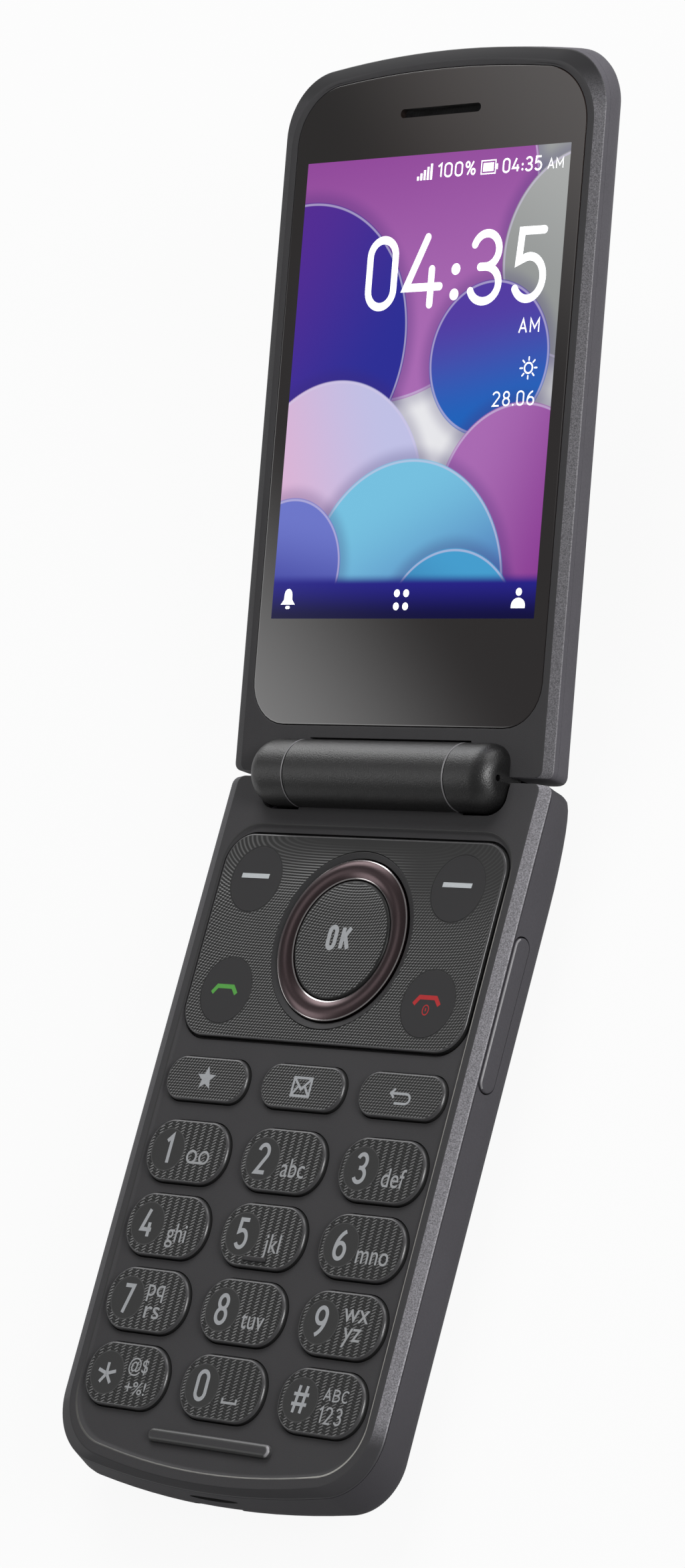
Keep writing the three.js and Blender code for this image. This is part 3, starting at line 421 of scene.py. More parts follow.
def inner_ring(section, level, inset, near, tightening):
    """Ring inside a half's walls."""
    return half_outline(section["side"], level, HALF - inset, near, section["length"] - inset, 1,
                        FAR_CORNER_RADIUS - tightening, section["far_arch"])


def shell_rings(section, top_drop, bottom_drop):
    """Outer rings of a rear shell between two drops, from the top down."""
    wall_drop = section["wall_drop"]
    rise = section["thickness"] - wall_drop
    turns = [wall_drop + rise * math.sin(QUARTER * i / CURVE_STEPS) for i in range(CURVE_STEPS + 1)]
    drops = {round(d, 4) for d in [top_drop] + turns if top_drop <= d < bottom_drop} | {bottom_drop}
    rings = []
    for drop_z in sorted(drops):
        bent = min(1, max(0, drop_z - wall_drop) / rise)
        rings.append(section_ring(section, drop_z, 0, 1 - math.cos(math.asin(bent))))
    return rings


def rounded_corner(before, corner, after, radius):
    """Points of a fillet at corner between two neighbours, in a plane."""
    corner = Vector(corner)
    start, end = (corner + (Vector(p) - corner).normalized() * radius for p in (before, after))
    steps = [i / FILLET_STEPS for i in range(FILLET_STEPS + 1)]
    return [tuple(start * (1 - t) ** 2 + corner * 2 * t * (1 - t) + end * t * t) for t in steps]


def rounded_path(x, y, width, length, radius, steps=CORNER_STEPS):
    r = min(radius, width / 2 - 0.01, length / 2 - 0.01)
    right, top = x + width / 2 - r, y + length / 2 - r
    left, bottom = x - width / 2 + r, y - length / 2 + r
    corners = ((right, bottom), (right, top), (left, top), (left, bottom))
    return [p for i, (cx, cy) in enumerate(corners)
            for p in arc(cx, cy, r, r, (i - 1) * QUARTER, i * QUARTER, steps)]


def ellipse(x, y, width, length, steps=ROUND_STEPS):
    turns = [2 * math.pi * i / steps for i in range(steps)]
    return [(x + width / 2 * math.cos(a), y + length / 2 * math.sin(a)) for a in turns]


def rect_shape(x, y, width, length, radius, steps=CORNER_STEPS):
    """Rounded rectangle as a function of its growth."""
    return lambda grow: rounded_path(x, y, width + 2 * grow, length + 2 * grow, radius + grow, steps)


def oval_shape(x, y, width, length):
    return lambda grow: ellipse(x, y, width + 2 * grow, length + 2 * grow)


def at(points, level):
    return [(x, y, level) for x, y in points]


def prism(name, path, low, high, half="base"):
    return loft(name, [at(path, low), at(path, high)], half)


def soft_prism(name, shape, low, high, round_run, round_drop, half="base", rim=0):
    """Prism whose outline is shape(grow), with a quarter-round upper edge; rim marks its upper rings."""
    rings = [at(shape(0), low)]
    for i in range(EDGE_STEPS + 1):
        angle = QUARTER * i / EDGE_STEPS
        level = high - round_drop * (1 - math.sin(angle))
        rings.append(at(shape(-round_run * (1 - math.cos(angle))), level))
    rings.append(at(shape(-round_run - 0.06), high))
    last = len(rings) - 2
    return loft(name, rings, half, [int(last - rim <= i < last) for i in range(last + 1)])


def turned(name, profile, half="base", marks=None):
    """Body turned about the hinge axis from (radius, x) points, from left to right."""
    turns = [2 * math.pi * i / ROUND_STEPS for i in range(ROUND_STEPS)]
    rings = [[(x, r * math.cos(a), r * math.sin(a)) for a in turns] for r, x in profile]
    return loft(name, rings, half, marks)


# Places of the keys
def key_list():
    """Name, centre, size and radius of every key in the tray."""
    rows = (("favourite", "message", "back"), "123", "456", "789", ("asterisk", "0", "hash"))
    keys = []
    for row, names in enumerate(rows):
        near, depth, radius = FUNCTION_NEAR, FUNCTION_DEPTH, FUNCTION_RADIUS
        if row:
            near, depth, radius = NUMBERS_NEAR + (row - 1) * ROW_PITCH, KEY_DEPTH, KEY_RADIUS
        for column, name in enumerate(names):
            place = (column - 1) * COLUMN_PITCH, -(near + depth / 2)
            keys.append(("key_" + name, *place, KEY_WIDTH, depth, radius))
    return keys


PLATE_SHAPE = rect_shape(0, NAV_Y, 2 * PLATE_HALF, PLATE_LENGTH, PLATE_RADIUS)
KEYS = key_list()
KEY_CENTRES = {key[0]: key[1:3] for key in KEYS}
CORNER_KEYS = [
    (name, CORNER_SHIFT + across * CORNER_KEY_X, NAV_Y + along * CORNER_KEY_Y)
    for name, across, along in (("key_soft_left", -1, 1), ("key_soft_right", 1, 1),
                                ("key_call", -1, -1), ("key_end", 1, -1))
]


# Materials
class Field:
    """Output of a shader node, with plain arithmetic."""

    def __init__(self, socket):
        self.socket = socket

    def __add__(self, other):
        return calc("ADD", self, other)

    def __sub__(self, other):
        return calc("SUBTRACT", self, other)

    def __rsub__(self, other):
        return calc("SUBTRACT", other, self)

    def __mul__(self, other):
        return calc("MULTIPLY", self, other)

    def __truediv__(self, other):
        return calc("DIVIDE", self, other)

    def __abs__(self):
        return calc("ABSOLUTE", self)


def feed(socket, value):
    if isinstance(value, Field):
        socket.id_data.links.new(value.socket, socket)
    else:
        socket.default_value = (*value, 1) if socket.type == "RGBA" else value


def build(kind, inputs, output=0, tree=None, **settings):
    """Adds a node with values or fields in its inputs, and returns one of its outputs."""
    tree = tree or next(v.socket.id_data for v in inputs.values() if isinstance(v, Field))
    made = tree.nodes.new("ShaderNode" + kind)
    for key, value in settings.items():
        setattr(made, key, value)
    for key, value in inputs.items():
        feed(made.inputs[key], value)
    return Field(made.outputs[output])


def calc(operation, *values):
    return build("Math", dict(enumerate(values)), operation=operation)


def distance(x, y):
    return calc("SQRT", x * x + y * y)


def ramp(value, start, end, low=0.0, high=1.0):
    """Runs smoothly from low at start to high at end, and stays level beyond."""
    return build("MapRange", {"Value": value, "From Min": start, "From Max": end, "To Min": low,
                              "To Max": high}, "Result", interpolation_type="SMOOTHSTEP")


def mix_color(factor, first, second):
    return build("Mix", {0: factor, 6: first, 7: second}, 2, data_type="RGBA")


def split(vector):
    outputs = build("SeparateXYZ", {0: vector}).socket.node.outputs
    return [Field(output) for output in outputs]


def noise(vector, size, detail=2.0, rough=0.5):
    """Noise whose grains are about size millimetres."""
    return build("TexNoise", {"Vector": vector, "Scale": 1 / size, "Detail": detail,
                              "Roughness": rough}, "Fac")


def srgb(*values):
    """Linear colour of sRGB values from 0 to 255."""
    shares = [value / 255 for value in values]
    return tuple(s / 12.92 if s <= 0.04 else ((s + 0.055) / 1.055) ** 2.4 for s in shares)


def grey(value, tint=(1, 1, 1)):
    return tuple(level * t for level, t in zip(srgb(value, value, value), tint))


def scaled(color, share):
    return tuple(min(1, level * share) for level in color)


def new_material(name, color, roughness, metallic=0.0, specular=0.3, **extra):
    made = bpy.data.materials.new(name)
    made.use_nodes = True
    values = {"Base Color": color, "Roughness": roughness, "Metallic": metallic,
              "Specular IOR Level": specular, **extra}
    for key, value in values.items():
        feed(made.node_tree.nodes["Principled BSDF"].inputs[key], value)
    return made


def finish(made, color, height=None, depth=0.0, into="Base Color"):
    """Links a material's colour, and a bump whose full height is depth millimetres."""
    inputs = made.node_tree.nodes["Principled BSDF"].inputs
    feed(inputs[into], color)
    if height:
        values = {"Height": height, "Distance": depth * MM, "Strength": 1.0}
        feed(inputs["Normal"], build("Bump", values, "Normal"))
    return made


def coordinates(made, half="base"):
    """Place in millimetres in the frame of a half, from the hinge axis."""
    place = build("TexCoord", {}, "Object", made.node_tree)
    place = build("VectorMath", {0: place, 1: tuple(BASE_PLACE.translation)}, operation="SUBTRACT")
    place = build("VectorMath", {0: place, "Scale": 1 / MM}, operation="SCALE")
    if half == "base":
        return place
    turn = {"Vector": place, "Angle": -math.radians(180 - OPEN_ANGLE)}
    return build("VectorRotate", turn, rotation_type="X_AXIS")


def facing(made):
    """Parts of the surface's normal along X, Y and Z."""
    return split(build("NewGeometry", {}, "Normal", made.node_tree))


def level_top(made):
    """1 on level faces, 0 on the rounded edges beside them."""
    return ramp(facing(made)[2], 0.955, 0.99)


def grained(name, value, tint, roughness, grain=0.14, depth=0.012, spread=0.1, specular=0.3, end=1.0):
    """Moulded plastic with a fine grain and uneven tone; end is its tone's share at the far end, where the
    darker tone is painted shade.
    """
    made = new_material(name, grey(value, tint), roughness, specular=specular)
    place = coordinates(made)
    fine = noise(place, grain, 3, 0.6)
    tone = fine * 0.6 + noise(place, 9) * 0.4
    color = mix_color(tone, grey(value * (1 - spread), tint), grey(value * (1 + spread), tint))
    # Painted shade: the tone darkens towards the far end.
    if end < 1:
        color = mix_color(ramp(split(place)[1], -66, -86), color, grey(value * end, tint))
    return finish(made, color, fine, depth)


def lip_material():
    """Edge of the tray, with a painted highlight along the right side and round the far end."""
    made = new_material("lip", grey(60), 0.4)
    place = coordinates(made)
    x, y = split(place)[:2]
    side = ramp(x, 8, 20) * ramp(y, -8, -20)
    end = ramp(y, -74, -84) * ramp(x, -18, 6, 0.2, 0.5)
    # Painted highlight on the lip's right side and far end, broken up by noise.
    painted_light = calc("MAXIMUM", side, end) * ramp(noise(place, 1.2), 0.2, 0.6, 0.7)
    color = mix_color(painted_light, grey(52), grey(150, (1.02, 1.0, 0.93)))
    return finish(made, color, noise(place, 0.14), 0.008)


def rib_highlight_material():
    """Rounded edge of the rib, with a painted highlight at its right end and along the side towards the
    hinge.
    """
    made = new_material("rib_highlight", grey(62), 0.35, specular=0.4)
    place = coordinates(made)
    x = split(place)[0]
    along, up = facing(made)[1:]
    tip = RIB_LENGTH / 2
    # Painted highlight where the rib's end and its side towards the hinge face the light.
    end = ramp(x, tip - 0.75, tip - 0.4) * ramp(up, 0.4, 0.65) * ramp(up, 0.99, 0.9)
    side = ramp(along, 0.4, 0.8) * ramp(x, -10, 9, high=0.35)
    color = mix_color(calc("MAXIMUM", end, side), grey(58), grey(142, (1.0, 0.98, 1.02)))
    return finish(made, color, noise(place, 0.14), 0.006)


def strip_material(name, half, fade_start, fade_end, level=1.0, plain_tone=60):
    """Coarse, sparkling grain of the edge strips, which turns plain round the far corners and, as painted
    shade, mostly plain along the left side.
    """
    made = new_material(name, grey(110), 0.45, 0.2, 0.5)
    place = coordinates(made, half)
    x, y = split(place)[:2]
    # The ramp along x makes the left side mostly plain: painted shade.
    plain = calc("MAXIMUM", ramp(abs(y), fade_start, fade_end), ramp(x, 10, -5, high=0.85))
    rough = 1 - plain
    coarse = noise(place, 0.17, 3, 0.7)
    tint = (1, 0.975, 1.05)
    sandy = mix_color(ramp(coarse, 0.3, 0.7), grey(92 * level, tint), grey(152 * level, tint))
    return finish(made, mix_color(rough, grey(plain_tone, tint), sandy), coarse * rough, 0.03)


def woven_material(name, spot_x, spot_y):
    """Key plastic moulded in columns of short slanted ridges, but for a smooth round spot; the ridges' lit
    sides carry a painted highlight, the ground between them painted shade.
    """
    made = new_material(name, grey(50), 0.42)
    place = coordinates(made)
    x, y = split(place)[:2]
    part = calc("FRACT", (x - WEAVE_START) / WEAVE_COLUMN)
    rise = calc("MINIMUM", part / WEAVE_SHARE, (1 - part) / (1 - WEAVE_SHARE))
    level = calc("FRACT", (y - rise * WEAVE_RISE) / WEAVE_ROW)
    line = ramp(abs(level - 0.5), 0.32, 0.05)
    # Painted highlight on the rising side of each ridge, which faces the light; the falling side stays
    # dimmer.
    lit = ramp(part, 0, 0.09, 0.12) * ramp(part, WEAVE_SHARE - 0.05, WEAVE_SHARE + 0.06, 1.0, 0.12)
    size = distance(x - spot_x, y - spot_y)
    top = level_top(made)
    ridges = line * lit * ramp(size, SPOT_RADIUS - 0.05, SPOT_RADIUS + 0.12) * top
    # Painted highlight on the step round the smooth spot.
    rim = ramp(abs(size - SPOT_RADIUS), 0.09, 0.02, high=0.2) * top
    # Painted shade: the ridges' highlight is dimmed towards the right column and on the lowest row.
    painted_light = calc("MINIMUM", ramp(x, 3, 12, 1.0, 0.78), ramp(y, -70.5, -73, 1.0, 0.8))
    # The ground between the ridges is painted shade, darker than the smooth spot.
    ground = mix_color(ramp(size, SPOT_RADIUS + 0.1, SPOT_RADIUS - 0.05), grey(GROUND_SHADE_TONE),
                       grey(SPOT_TONE))
    color = mix_color(calc("MAXIMUM", ridges, rim) * painted_light, ground, grey(RIDGE_HIGHLIGHT_TONE))
    return finish(made, color, noise(place, 0.1) * 0.1 + ridges, 0.03)


def dots(made, x, level, depth, contrast):
    """Rows of slanted lens-shaped dots along level, which merge into lines near the hinge: painted
    highlights on a ground of painted shade, as strong as contrast.
    """
    rows = level / DOT_ROW
    middle = calc("FRACT", calc("FLOOR", rows) * 0.5 + x / DOT_PITCH) - 0.5
    separate = ramp(depth, 4, 10)
    line = ramp(abs(calc("FRACT", rows) - 0.5 + middle * 0.62 * separate), 0.32, 0.05)
    gaps = ramp(abs(middle), 0.24, 0.44) * separate
    # The dots' colour is a painted highlight, and the ground under them painted shade where contrast is
    # high.
    mask = line * (1 - gaps) * contrast * level_top(made)
    ground = mix_color(contrast, grey(PLAIN_TONE), grey(GROUND_SHADE_TONE))
    return finish(made, mix_color(mask, ground, grey(RIDGE_HIGHLIGHT_TONE)), mask, 0.025)


def plate_material():
    made = new_material("plate", grey(50), 0.42)
    x, y = split(coordinates(made))[:2]
    depth = calc("MAXIMUM", y * -1 - PLATE_NEAR, 0.001)
    reach = abs(x / PLATE_HALF)
    level = calc("SQRT", depth * depth + calc("POWER", reach, 5) * 32)
    calm = ramp(x, 0, 10) * ramp(depth, 13, 4, high=0.9)
    corner = ramp(x, -5, -13) * ramp(depth, 8, 3, high=0.58)
    contrast = ramp(level + reach * 1.5, 0.8, 5.5) * ramp(x, 6, 20, 1.0, 0.76) * (1 - calm - corner)
    for name, key_x, key_y in CORNER_KEYS:
        from_x = (x - key_x) / ((CORNER_KEY_WIDTH + SMOOTH_PATCH) / 2)
        from_y = (y - key_y) / ((CORNER_KEY_LENGTH + SMOOTH_PATCH) / 2)
        contrast = contrast * ramp(from_x * from_x + from_y * from_y, 0.96, 1.06)
    return dots(made, x, level, depth, contrast)


def level_dots_material(name, near, merging, sag_near=0.0, sag_far=0.0, right_contrast=1.0):
    """Key plastic with rows of slanted dots, which sag towards the middle."""
    made = new_material(name, grey(50), 0.42)
    x, y = split(coordinates(made))[:2]
    depth = y * -1 - near
    sag = x * x * ramp(depth, 6, 15, sag_near, sag_far)
    return dots(made, x, depth + sag, depth + merging, ramp(x, -6, 16, 1.0, right_contrast))


def metal_material(name, color, roughness, spread=0.12):
    made = new_material(name, color, roughness, 1.0, 0.5)
    fine = noise(coordinates(made), 0.2, 3)
    return finish(made, mix_color(fine, scaled(color, 1 - spread), scaled(color, 1 + spread)), fine,
                  0.0008)


def outer_glass_material():
    """Smoked pane of the outer display and the camera."""
    made = new_material("outer_glass", grey(20), 0.16, specular=0.25)
    tint = (1.05, 1, 0.98)
    broad = noise(coordinates(made, "lid"), 12, 1)
    return finish(made, mix_color(broad, grey(17, tint), grey(26, tint)))


def lens_material():
    """Smoked window, a little browner at the far end."""
    made = new_material("lens", grey(25, (1.3, 1, 1)), 0.04, specular=0.5,
                        **{"Coat Weight": 1.0, "Coat Roughness": 0.03})
    place = coordinates(made, "lid")
    x, y = split(place)[:2]
    far = mix_color(ramp(x, -20, 8), grey(17, (1.4, 1, 0.9)), grey(32, (1.6, 1, 0.85)))
    brown = mix_color(ramp(y, 50, 82), grey(26, (1.3, 1, 1)), far)
    return finish(made, mix_color(ramp(noise(place, 30, 1), 0.2, 0.8, high=0.3), brown,
                                  grey(20, (1.2, 1, 0.95))))


def print_material(name, color, strength=0.0):
    glow = {"Emission Color": color, "Emission Strength": strength} if strength else {}
    made = new_material(name, color, 0.5, **glow)
    return finish(made, mix_color(noise(coordinates(made), 0.2), scaled(color, 0.85), color))


def display_material():
    """Lit panel with a plain picture of overlapping round hills."""
    made = new_material("display", (0, 0, 0), 0.06, specular=0.15, **{"Emission Strength": 0.95})
    x, y = split(coordinates(made, "lid"))[:2]
    y = y - (DISPLAY_NEAR + DISPLAY_FAR) / 2
    middle = mix_color(ramp(y, -24, 26), srgb(226, 226, 230), srgb(158, 161, 160))
    picture = mix_color(ramp(x, 2, 19), srgb(236, 236, 240), middle)
    plum, orchid = srgb(140, 60, 150), srgb(172, 108, 182)
    indigo, violet = srgb(44, 46, 152), srgb(86, 44, 150)
    sky, cyan, azure = srgb(120, 196, 228), srgb(70, 160, 210), srgb(30, 100, 190)
    rose, lilac = srgb(226, 182, 216), srgb(196, 196, 234)
    hills = [
        (-7, 22, 24, orchid, plum, 95),
        (25, 15, 13, srgb(150, 153, 152), srgb(172, 174, 173), 60),
        (-20, 6, 17.5, violet, indigo, -35),
        (11, 3, 9.5, azure, srgb(84, 60, 165), 100),
        (-13, -14, 15, rose, lilac, 20),
        (17, -15, 12.5, orchid, plum, -20),
        (0, -25, 16, srgb(60, 84, 176), sky, 115),
        (-19, -22, 8.5, indigo, srgb(110, 120, 205), 80),
        (8, -31, 11, srgb(34, 36, 120), cyan, 60),
    ]
    for centre_x, centre_y, radius, first, second, turn in hills:
        from_x, from_y, angle = x - centre_x, y - centre_y, math.radians(turn)
        edge = distance(from_x, from_y) - radius
        along = from_x * math.cos(angle) + from_y * math.sin(angle)
        color = mix_color(ramp(along, -radius * 0.8, radius * 0.8), first, second)
        rim = ramp(abs(edge + 0.22), 0.2, 0.08, high=0.5)
        color = mix_color(rim, color, srgb(215, 205, 235))
        picture = mix_color(ramp(edge, 2.2, 0, high=0.35), picture, srgb(60, 40, 120))
        picture = mix_color(ramp(edge, 0.12, -0.12), picture, color)
    deep = mix_color(ramp(y, -28.5, -23.5), srgb(14, 12, 62), srgb(38, 34, 138))
    return finish(made, mix_color(ramp(y, -22.9, -24.3), picture, deep), into="Emission Color")


PLASTIC = (1.0, 0.98, 1.02)
BLUISH = (1.01, 0.96, 1.1)
COARSE = dict(grain=0.22, depth=0.02, spread=0.16, specular=0.35)
materials = dict(
    shell=grained("shell", 64, PLASTIC, 0.6, specular=0.12),
    # The base's wall finish darkens towards the far end wall as painted shade.
    wall=grained("shell_wall", 66, BLUISH, 0.6, end=0.86, **COARSE),
    # The lid's copy of the wall finish is set lighter than the base's: painted light.
    lid_wall=grained("lid_wall", 80, BLUISH, 0.6, **COARSE),
    cover=grained("cover", 52, PLASTIC, 0.65),
    barrel=grained("barrel", 15, PLASTIC, 0.36, grain=0.18, depth=0.045, spread=0.25, specular=0.75),
    strip=strip_material("base_strip", "base", 77, 81),
    # The lid's copy of the strip finish is set darker, by its level and plain tone: painted shade.
    lid_strip=strip_material("lid_strip", "lid", 79.5, 85.5, 0.86, 42),
    smooth=grained("smooth_key", 47, PLASTIC, 0.5, grain=0.1, depth=0.006, spread=0.05),
    plate=plate_material(),
    centre_key=level_dots_material("centre_key", PLATE_NEAR, 0, 0.022, 0.004),
    function_key=level_dots_material("function_key", FUNCTION_NEAR, 12, right_contrast=0.78),
    ring=metal_material("ring", (0.1, 0.073, 0.077), 0.28),
    ring_edge=metal_material("ring_edge", (0.6, 0.57, 0.57), 0.15, 0.05),
    # Light grey of the barrel's split chamfers: a painted highlight.
    edge=grained("edge", 112, PLASTIC, 0.4, spread=0.05, specular=0.5),
    # Painted highlight along the side key's upper outer edge.
    rocker_highlight=grained("rocker_highlight", 124, PLASTIC, 0.4, spread=0.05, specular=0.5),
    lip=lip_material(),
    # Lighter tone of the key and plate bevels: a painted highlight along their upper edges.
    rim=grained("rim", 62, PLASTIC, 0.3, spread=0.05, specular=0.6),
    steel=metal_material("steel", (0.5, 0.5, 0.51), 0.35),
    lens=lens_material(),
    outer_glass=outer_glass_material(),
    rib_highlight=rib_highlight_material(),
    bright=print_material("legend_bright", grey(196, (0.95, 1.0, 1.03))),
    legend=print_material("legend", grey(166, (0.97, 1.0, 1.04))),
    faint=print_material("legend_small", grey(158, (0.98, 1.0, 1.03))),
    green=print_material("legend_green", srgb(88, 160, 74)),
    red=print_material("legend_red", srgb(176, 50, 52)),
    white=print_material("screen_print", (0.9, 0.91, 0.93), 0.75),
    display=display_material(),
    dark=grained("dark_plastic", 16, PLASTIC, 0.6),
    board=grained("circuit_board", 60, (0.4, 1.1, 0.55), 0.5),
    rubber=grained("rubber", 120, (1.0, 1.0, 0.96), 0.8),
    cell=grained("cell", 34, PLASTIC, 0.5),
)


def dress(obj, body, slot, *names, replaces=None):
    """Gives a piece its materials and body, and hides the CAD node it replaces; slot is not used."""
    places = obj.data.materials
    for index, name in enumerate(names):
        if index < len(places):
            places[index] = materials[name]
        else:
            places.append(materials[name])
    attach(obj, body)
    if replaces:
        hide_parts(replaces)
    return obj


# Base
def front_rings(section, bottom, rim, inset, fillet):
    """Rings and face materials of a front shell, from its inner foot over the edge strip to the face."""
    run, strip_drop = section["strip_run"], section["strip_drop"]
    outer = rounded_corner((0, FACE - rim), (0, strip_drop), (run, 0), FILLET)
    inner = rounded_corner((0, strip_drop), (run, 0), (3, 0), fillet) + [(run + 0.3, 0)]
    rings = [inner_ring(section, level, inset, FRONT_INNER_NEAR, 1) for level in (bottom, rim)]
    rings += [section_ring(section, drop_z, x) for x, drop_z in [(0, FACE - rim)] + outer + inner]
    return rings, [0, 0, 1] + [2] * len(outer) + [0] * len(inner)


def base_front():
    section = BASE_SECTION
    rings, marks = front_rings(section, DECK_BOTTOM, BASE_RIM, SHELL_WALL + 0.6, FILLET)

    def tray_ring(inset, level):
        return half_outline(-1, level, TRAY_HALF - inset, TRAY_NEAR + inset, TRAY_FAR - inset,
                            TRAY_NEAR_RADIUS, TRAY_FAR_RADIUS, section["far_arch"])

    lip = rounded_corner((-1, FACE), (0, FACE), (TRAY_SLOPE, DECK), 0.1)
    foot = rounded_corner((0, FACE), (TRAY_SLOPE, DECK), (3, DECK), 0.14) + [(TRAY_SLOPE + 0.3, DECK)]
    rings += [tray_ring(*place) for place in [(-0.3, FACE)] + lip + foot]
    # The lip's rounded edge takes the lip finish, whose light band is a painted highlight.
    marks += [0] + [3] * (len(lip) - 1) + [0] * (len(foot) + 1)
    shell = loft("base_front", rings, "base", marks)
    cutters = [prism("cut", rect_shape(*key[1:])(KEY_GAP), DECK_BOTTOM - OVERRUN, OVERRUN)
               for key in KEYS]
    cutters.append(prism("cut", PLATE_SHAPE(PLATE_SEAT_GAP), PLATE_TOP - PLATE_SEAT_DEPTH, OVERRUN))
    cut(shell, cutters)
    profile = [(POCKET_RADIUS, MIDDLE_HALF)] + round_end(POCKET_RADIUS, POCKET_HALF)
    cut(shell, [turned("cut", on_side(sign, profile)) for sign in (-1, 1)])
    shape = rect_shape(0, -(RIB_NEAR + RIB_FAR) / 2, RIB_LENGTH, RIB_FAR - RIB_NEAR, RIB_RADIUS)
    rib = soft_prism("rib", shape, DECK - TRAY_DEPTH, RIB_TOP, *RIB_EDGE, rim=6)
    # The rib's rounded edge carries a painted highlight.
    dress(rib, "base", "shell", "shell", "rib_highlight", replaces="base_front_housing")
    dress(shell, "base", "shell", "shell", "wall", "strip", "lip", replaces="base_front_housing")


def round_end(radius, end):
    """Profile points of a soft barrel end, from the side round to the flat."""
    turns = [QUARTER * i / END_STEPS for i in range(END_STEPS + 1)]
    return [(radius - KNUCKLE_END_DROP * (1 - math.cos(a)), end - KNUCKLE_END_RUN * (1 - math.sin(a)))
            for a in turns]


def on_side(sign, profile):
    """Profile of the barrel's right end, or its mirror image for the left end."""
    return profile if sign > 0 else [(radius, -x) for radius, x in reversed(profile)]


def straight_pocket(half, reach):
    """Cutter of the plain pocket round the barrel."""
    return turned("cut", [(POCKET_RADIUS, -reach), (POCKET_RADIUS, reach)], half)


def middle_barrel():
    radius, end, lip = KNUCKLE_RADIUS, MIDDLE_HALF, FILLET
    profile = [(3, -end), (radius - lip, -end), (radius, -end + lip), (radius, end - lip),
               (radius - lip, end), (3, end)]
    # The chamfers at the splits take the edge finish, a painted highlight.
    barrel = turned("base_barrel", profile, marks=[0, 1, 0, 1, 0])
    dress(barrel, "base", "shell", "barrel", "edge", replaces="base_front_housing")


def base_rear():
    section = BASE_SECTION
    top, bottom = FACE - BASE_RIM + SEAM, FACE - COVER_TOP
    levels = ((FACE - top, SHELL_WALL), (COVER_TOP + 2.6, SHELL_WALL), (COVER_TOP, 4.6))
    inner = [inner_ring(section, level, inset, BASE_INNER_NEAR, 2) for level, inset in levels]
    shell = loft("base_rear", shell_rings(section, top, bottom)[::-1] + inner, "base", closed=True)
    opening = side_bar("cut", ROCKER_INNER - ROCKER_POCKET, HALF + OVERRUN, ROCKER_Z + ROCKER_GAP / 2,
                       ROCKER_LENGTH + 2 * ROCKER_GAP, ROCKER_HEIGHT + 1.2 * ROCKER_GAP)
    cut(shell, [opening, straight_pocket("base", POCKET_HALF), port_cutter()])
    # The slit's inside faces take the dark finish: painted shade.
    shell.data.materials.append(SPARE[1])
    cut(shell, [end_slit()])
    dress(shell, "base", "shell", "wall", "dark", replaces="base_rear_housing")


def in_base(point):
    """Place in millimetres in the base's frame of a point in metres."""
    return (point - BASE_PLACE.translation) / MM


def port_cutter():
    """Box round the connector, lengthened through the end wall."""
    low, high = (in_base(corner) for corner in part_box("usb_port"))
    outline = block(low.x - PORT_GAP, low.y - PORT_GAP - PORT_REACH, high.x + PORT_GAP, high.y + PORT_GAP)
    return prism("cut", outline, low.z - PORT_GAP, high.z + PORT_GAP)


def block(left, low, right, high):
    return [(left, low), (right, low), (right, high), (left, high)]


def end_slit():
    """Cutter of the slit in the end wall, whose inside takes the dark finish as painted shade."""
    outline = [(b, a) for a, b in ellipse(SLIT_LEVEL, SLIT_X, SLIT_HEIGHT, SLIT_WIDTH)]
    rings = [[(x, y, z) for x, z in outline] for y in (-BASE_LENGTH - OVERRUN, -BASE_LENGTH + SLIT_DEPTH)]
    return loft("cut", rings, "base", [1])


def side_bar(name, x_low, x_high, level, length, height, crown=0.0):
    """Round-ended bar that runs along Y and stands out towards +X, with a crowned face."""
    shape = rect_shape(ROCKER_Y, level, length, height, height / 2 - 0.01, 10)
    turns = [QUARTER * i / FILLET_STEPS for i in range(FILLET_STEPS + 1)] if crown else [QUARTER]
    edge = [(x_high - crown * (1 - math.sin(a)), -crown * (1 - math.cos(a))) for a in turns]
    return loft(name, [[(x, y, z) for y, z in shape(grow)] for x, grow in [(x_low, 0)] + edge], "base")


def battery_cover():
    section, thickness = BASE_SECTION, BASE_SECTION["thickness"]
    top = FACE - COVER_TOP + SEAM
    inner = [section_ring(section, drop_z, 0, share, COVER_WALL)
             for drop_z, share in ((top, 0.35), (thickness - COVER_WALL, 0.75))]
    cover = loft("cover", shell_rings(section, top, thickness)[::-1] + inner, "base")
    low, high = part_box("loudspeaker")
    centre = in_base((low + high) / 2)
    paths = [rounded_path(centre.x, centre.y + i * SOUND_SLOT_PITCH, *SOUND_SLOT, 6) for i in range(-2, 3)]
    cut(cover, [prism("cut", path, -thickness - 2, -thickness + 2) for path in paths])
    dress(cover, "base", "cover", "cover", replaces="battery_cover")


def navigation_plate():
    foot = PLATE_TOP - PLATE_THICKNESS
    # The plate's upper bevel rings take the rim finish, a painted highlight.
    plate = soft_prism("plate", PLATE_SHAPE, foot, PLATE_TOP, *PLATE_EDGE, rim=5)
    paths = [oval_shape(x, y, CORNER_KEY_WIDTH, CORNER_KEY_LENGTH)(CORNER_GAP)
             for name, x, y in CORNER_KEYS]
    paths.append(ellipse(0, NAV_Y, *RING_OPENING))
    cut(plate, [prism("cut", path, PLATE_FLOOR, OVERRUN) for path in paths])
    dress(plate, "base", "key", "plate", "rim", replaces="nav_plate")
    slope = [(-1.0, -0.02), (-0.93, 0), (-0.8, -0.04), (-0.5, -0.12), (-0.2, -0.22)]
    profile = [(-1.0, foot)] + [(inset, PLATE_TOP + rise) for inset, rise in slope] + [(-0.14, foot)]
    dress(ring_body("plate_collar", profile), "base", "key", "smooth")


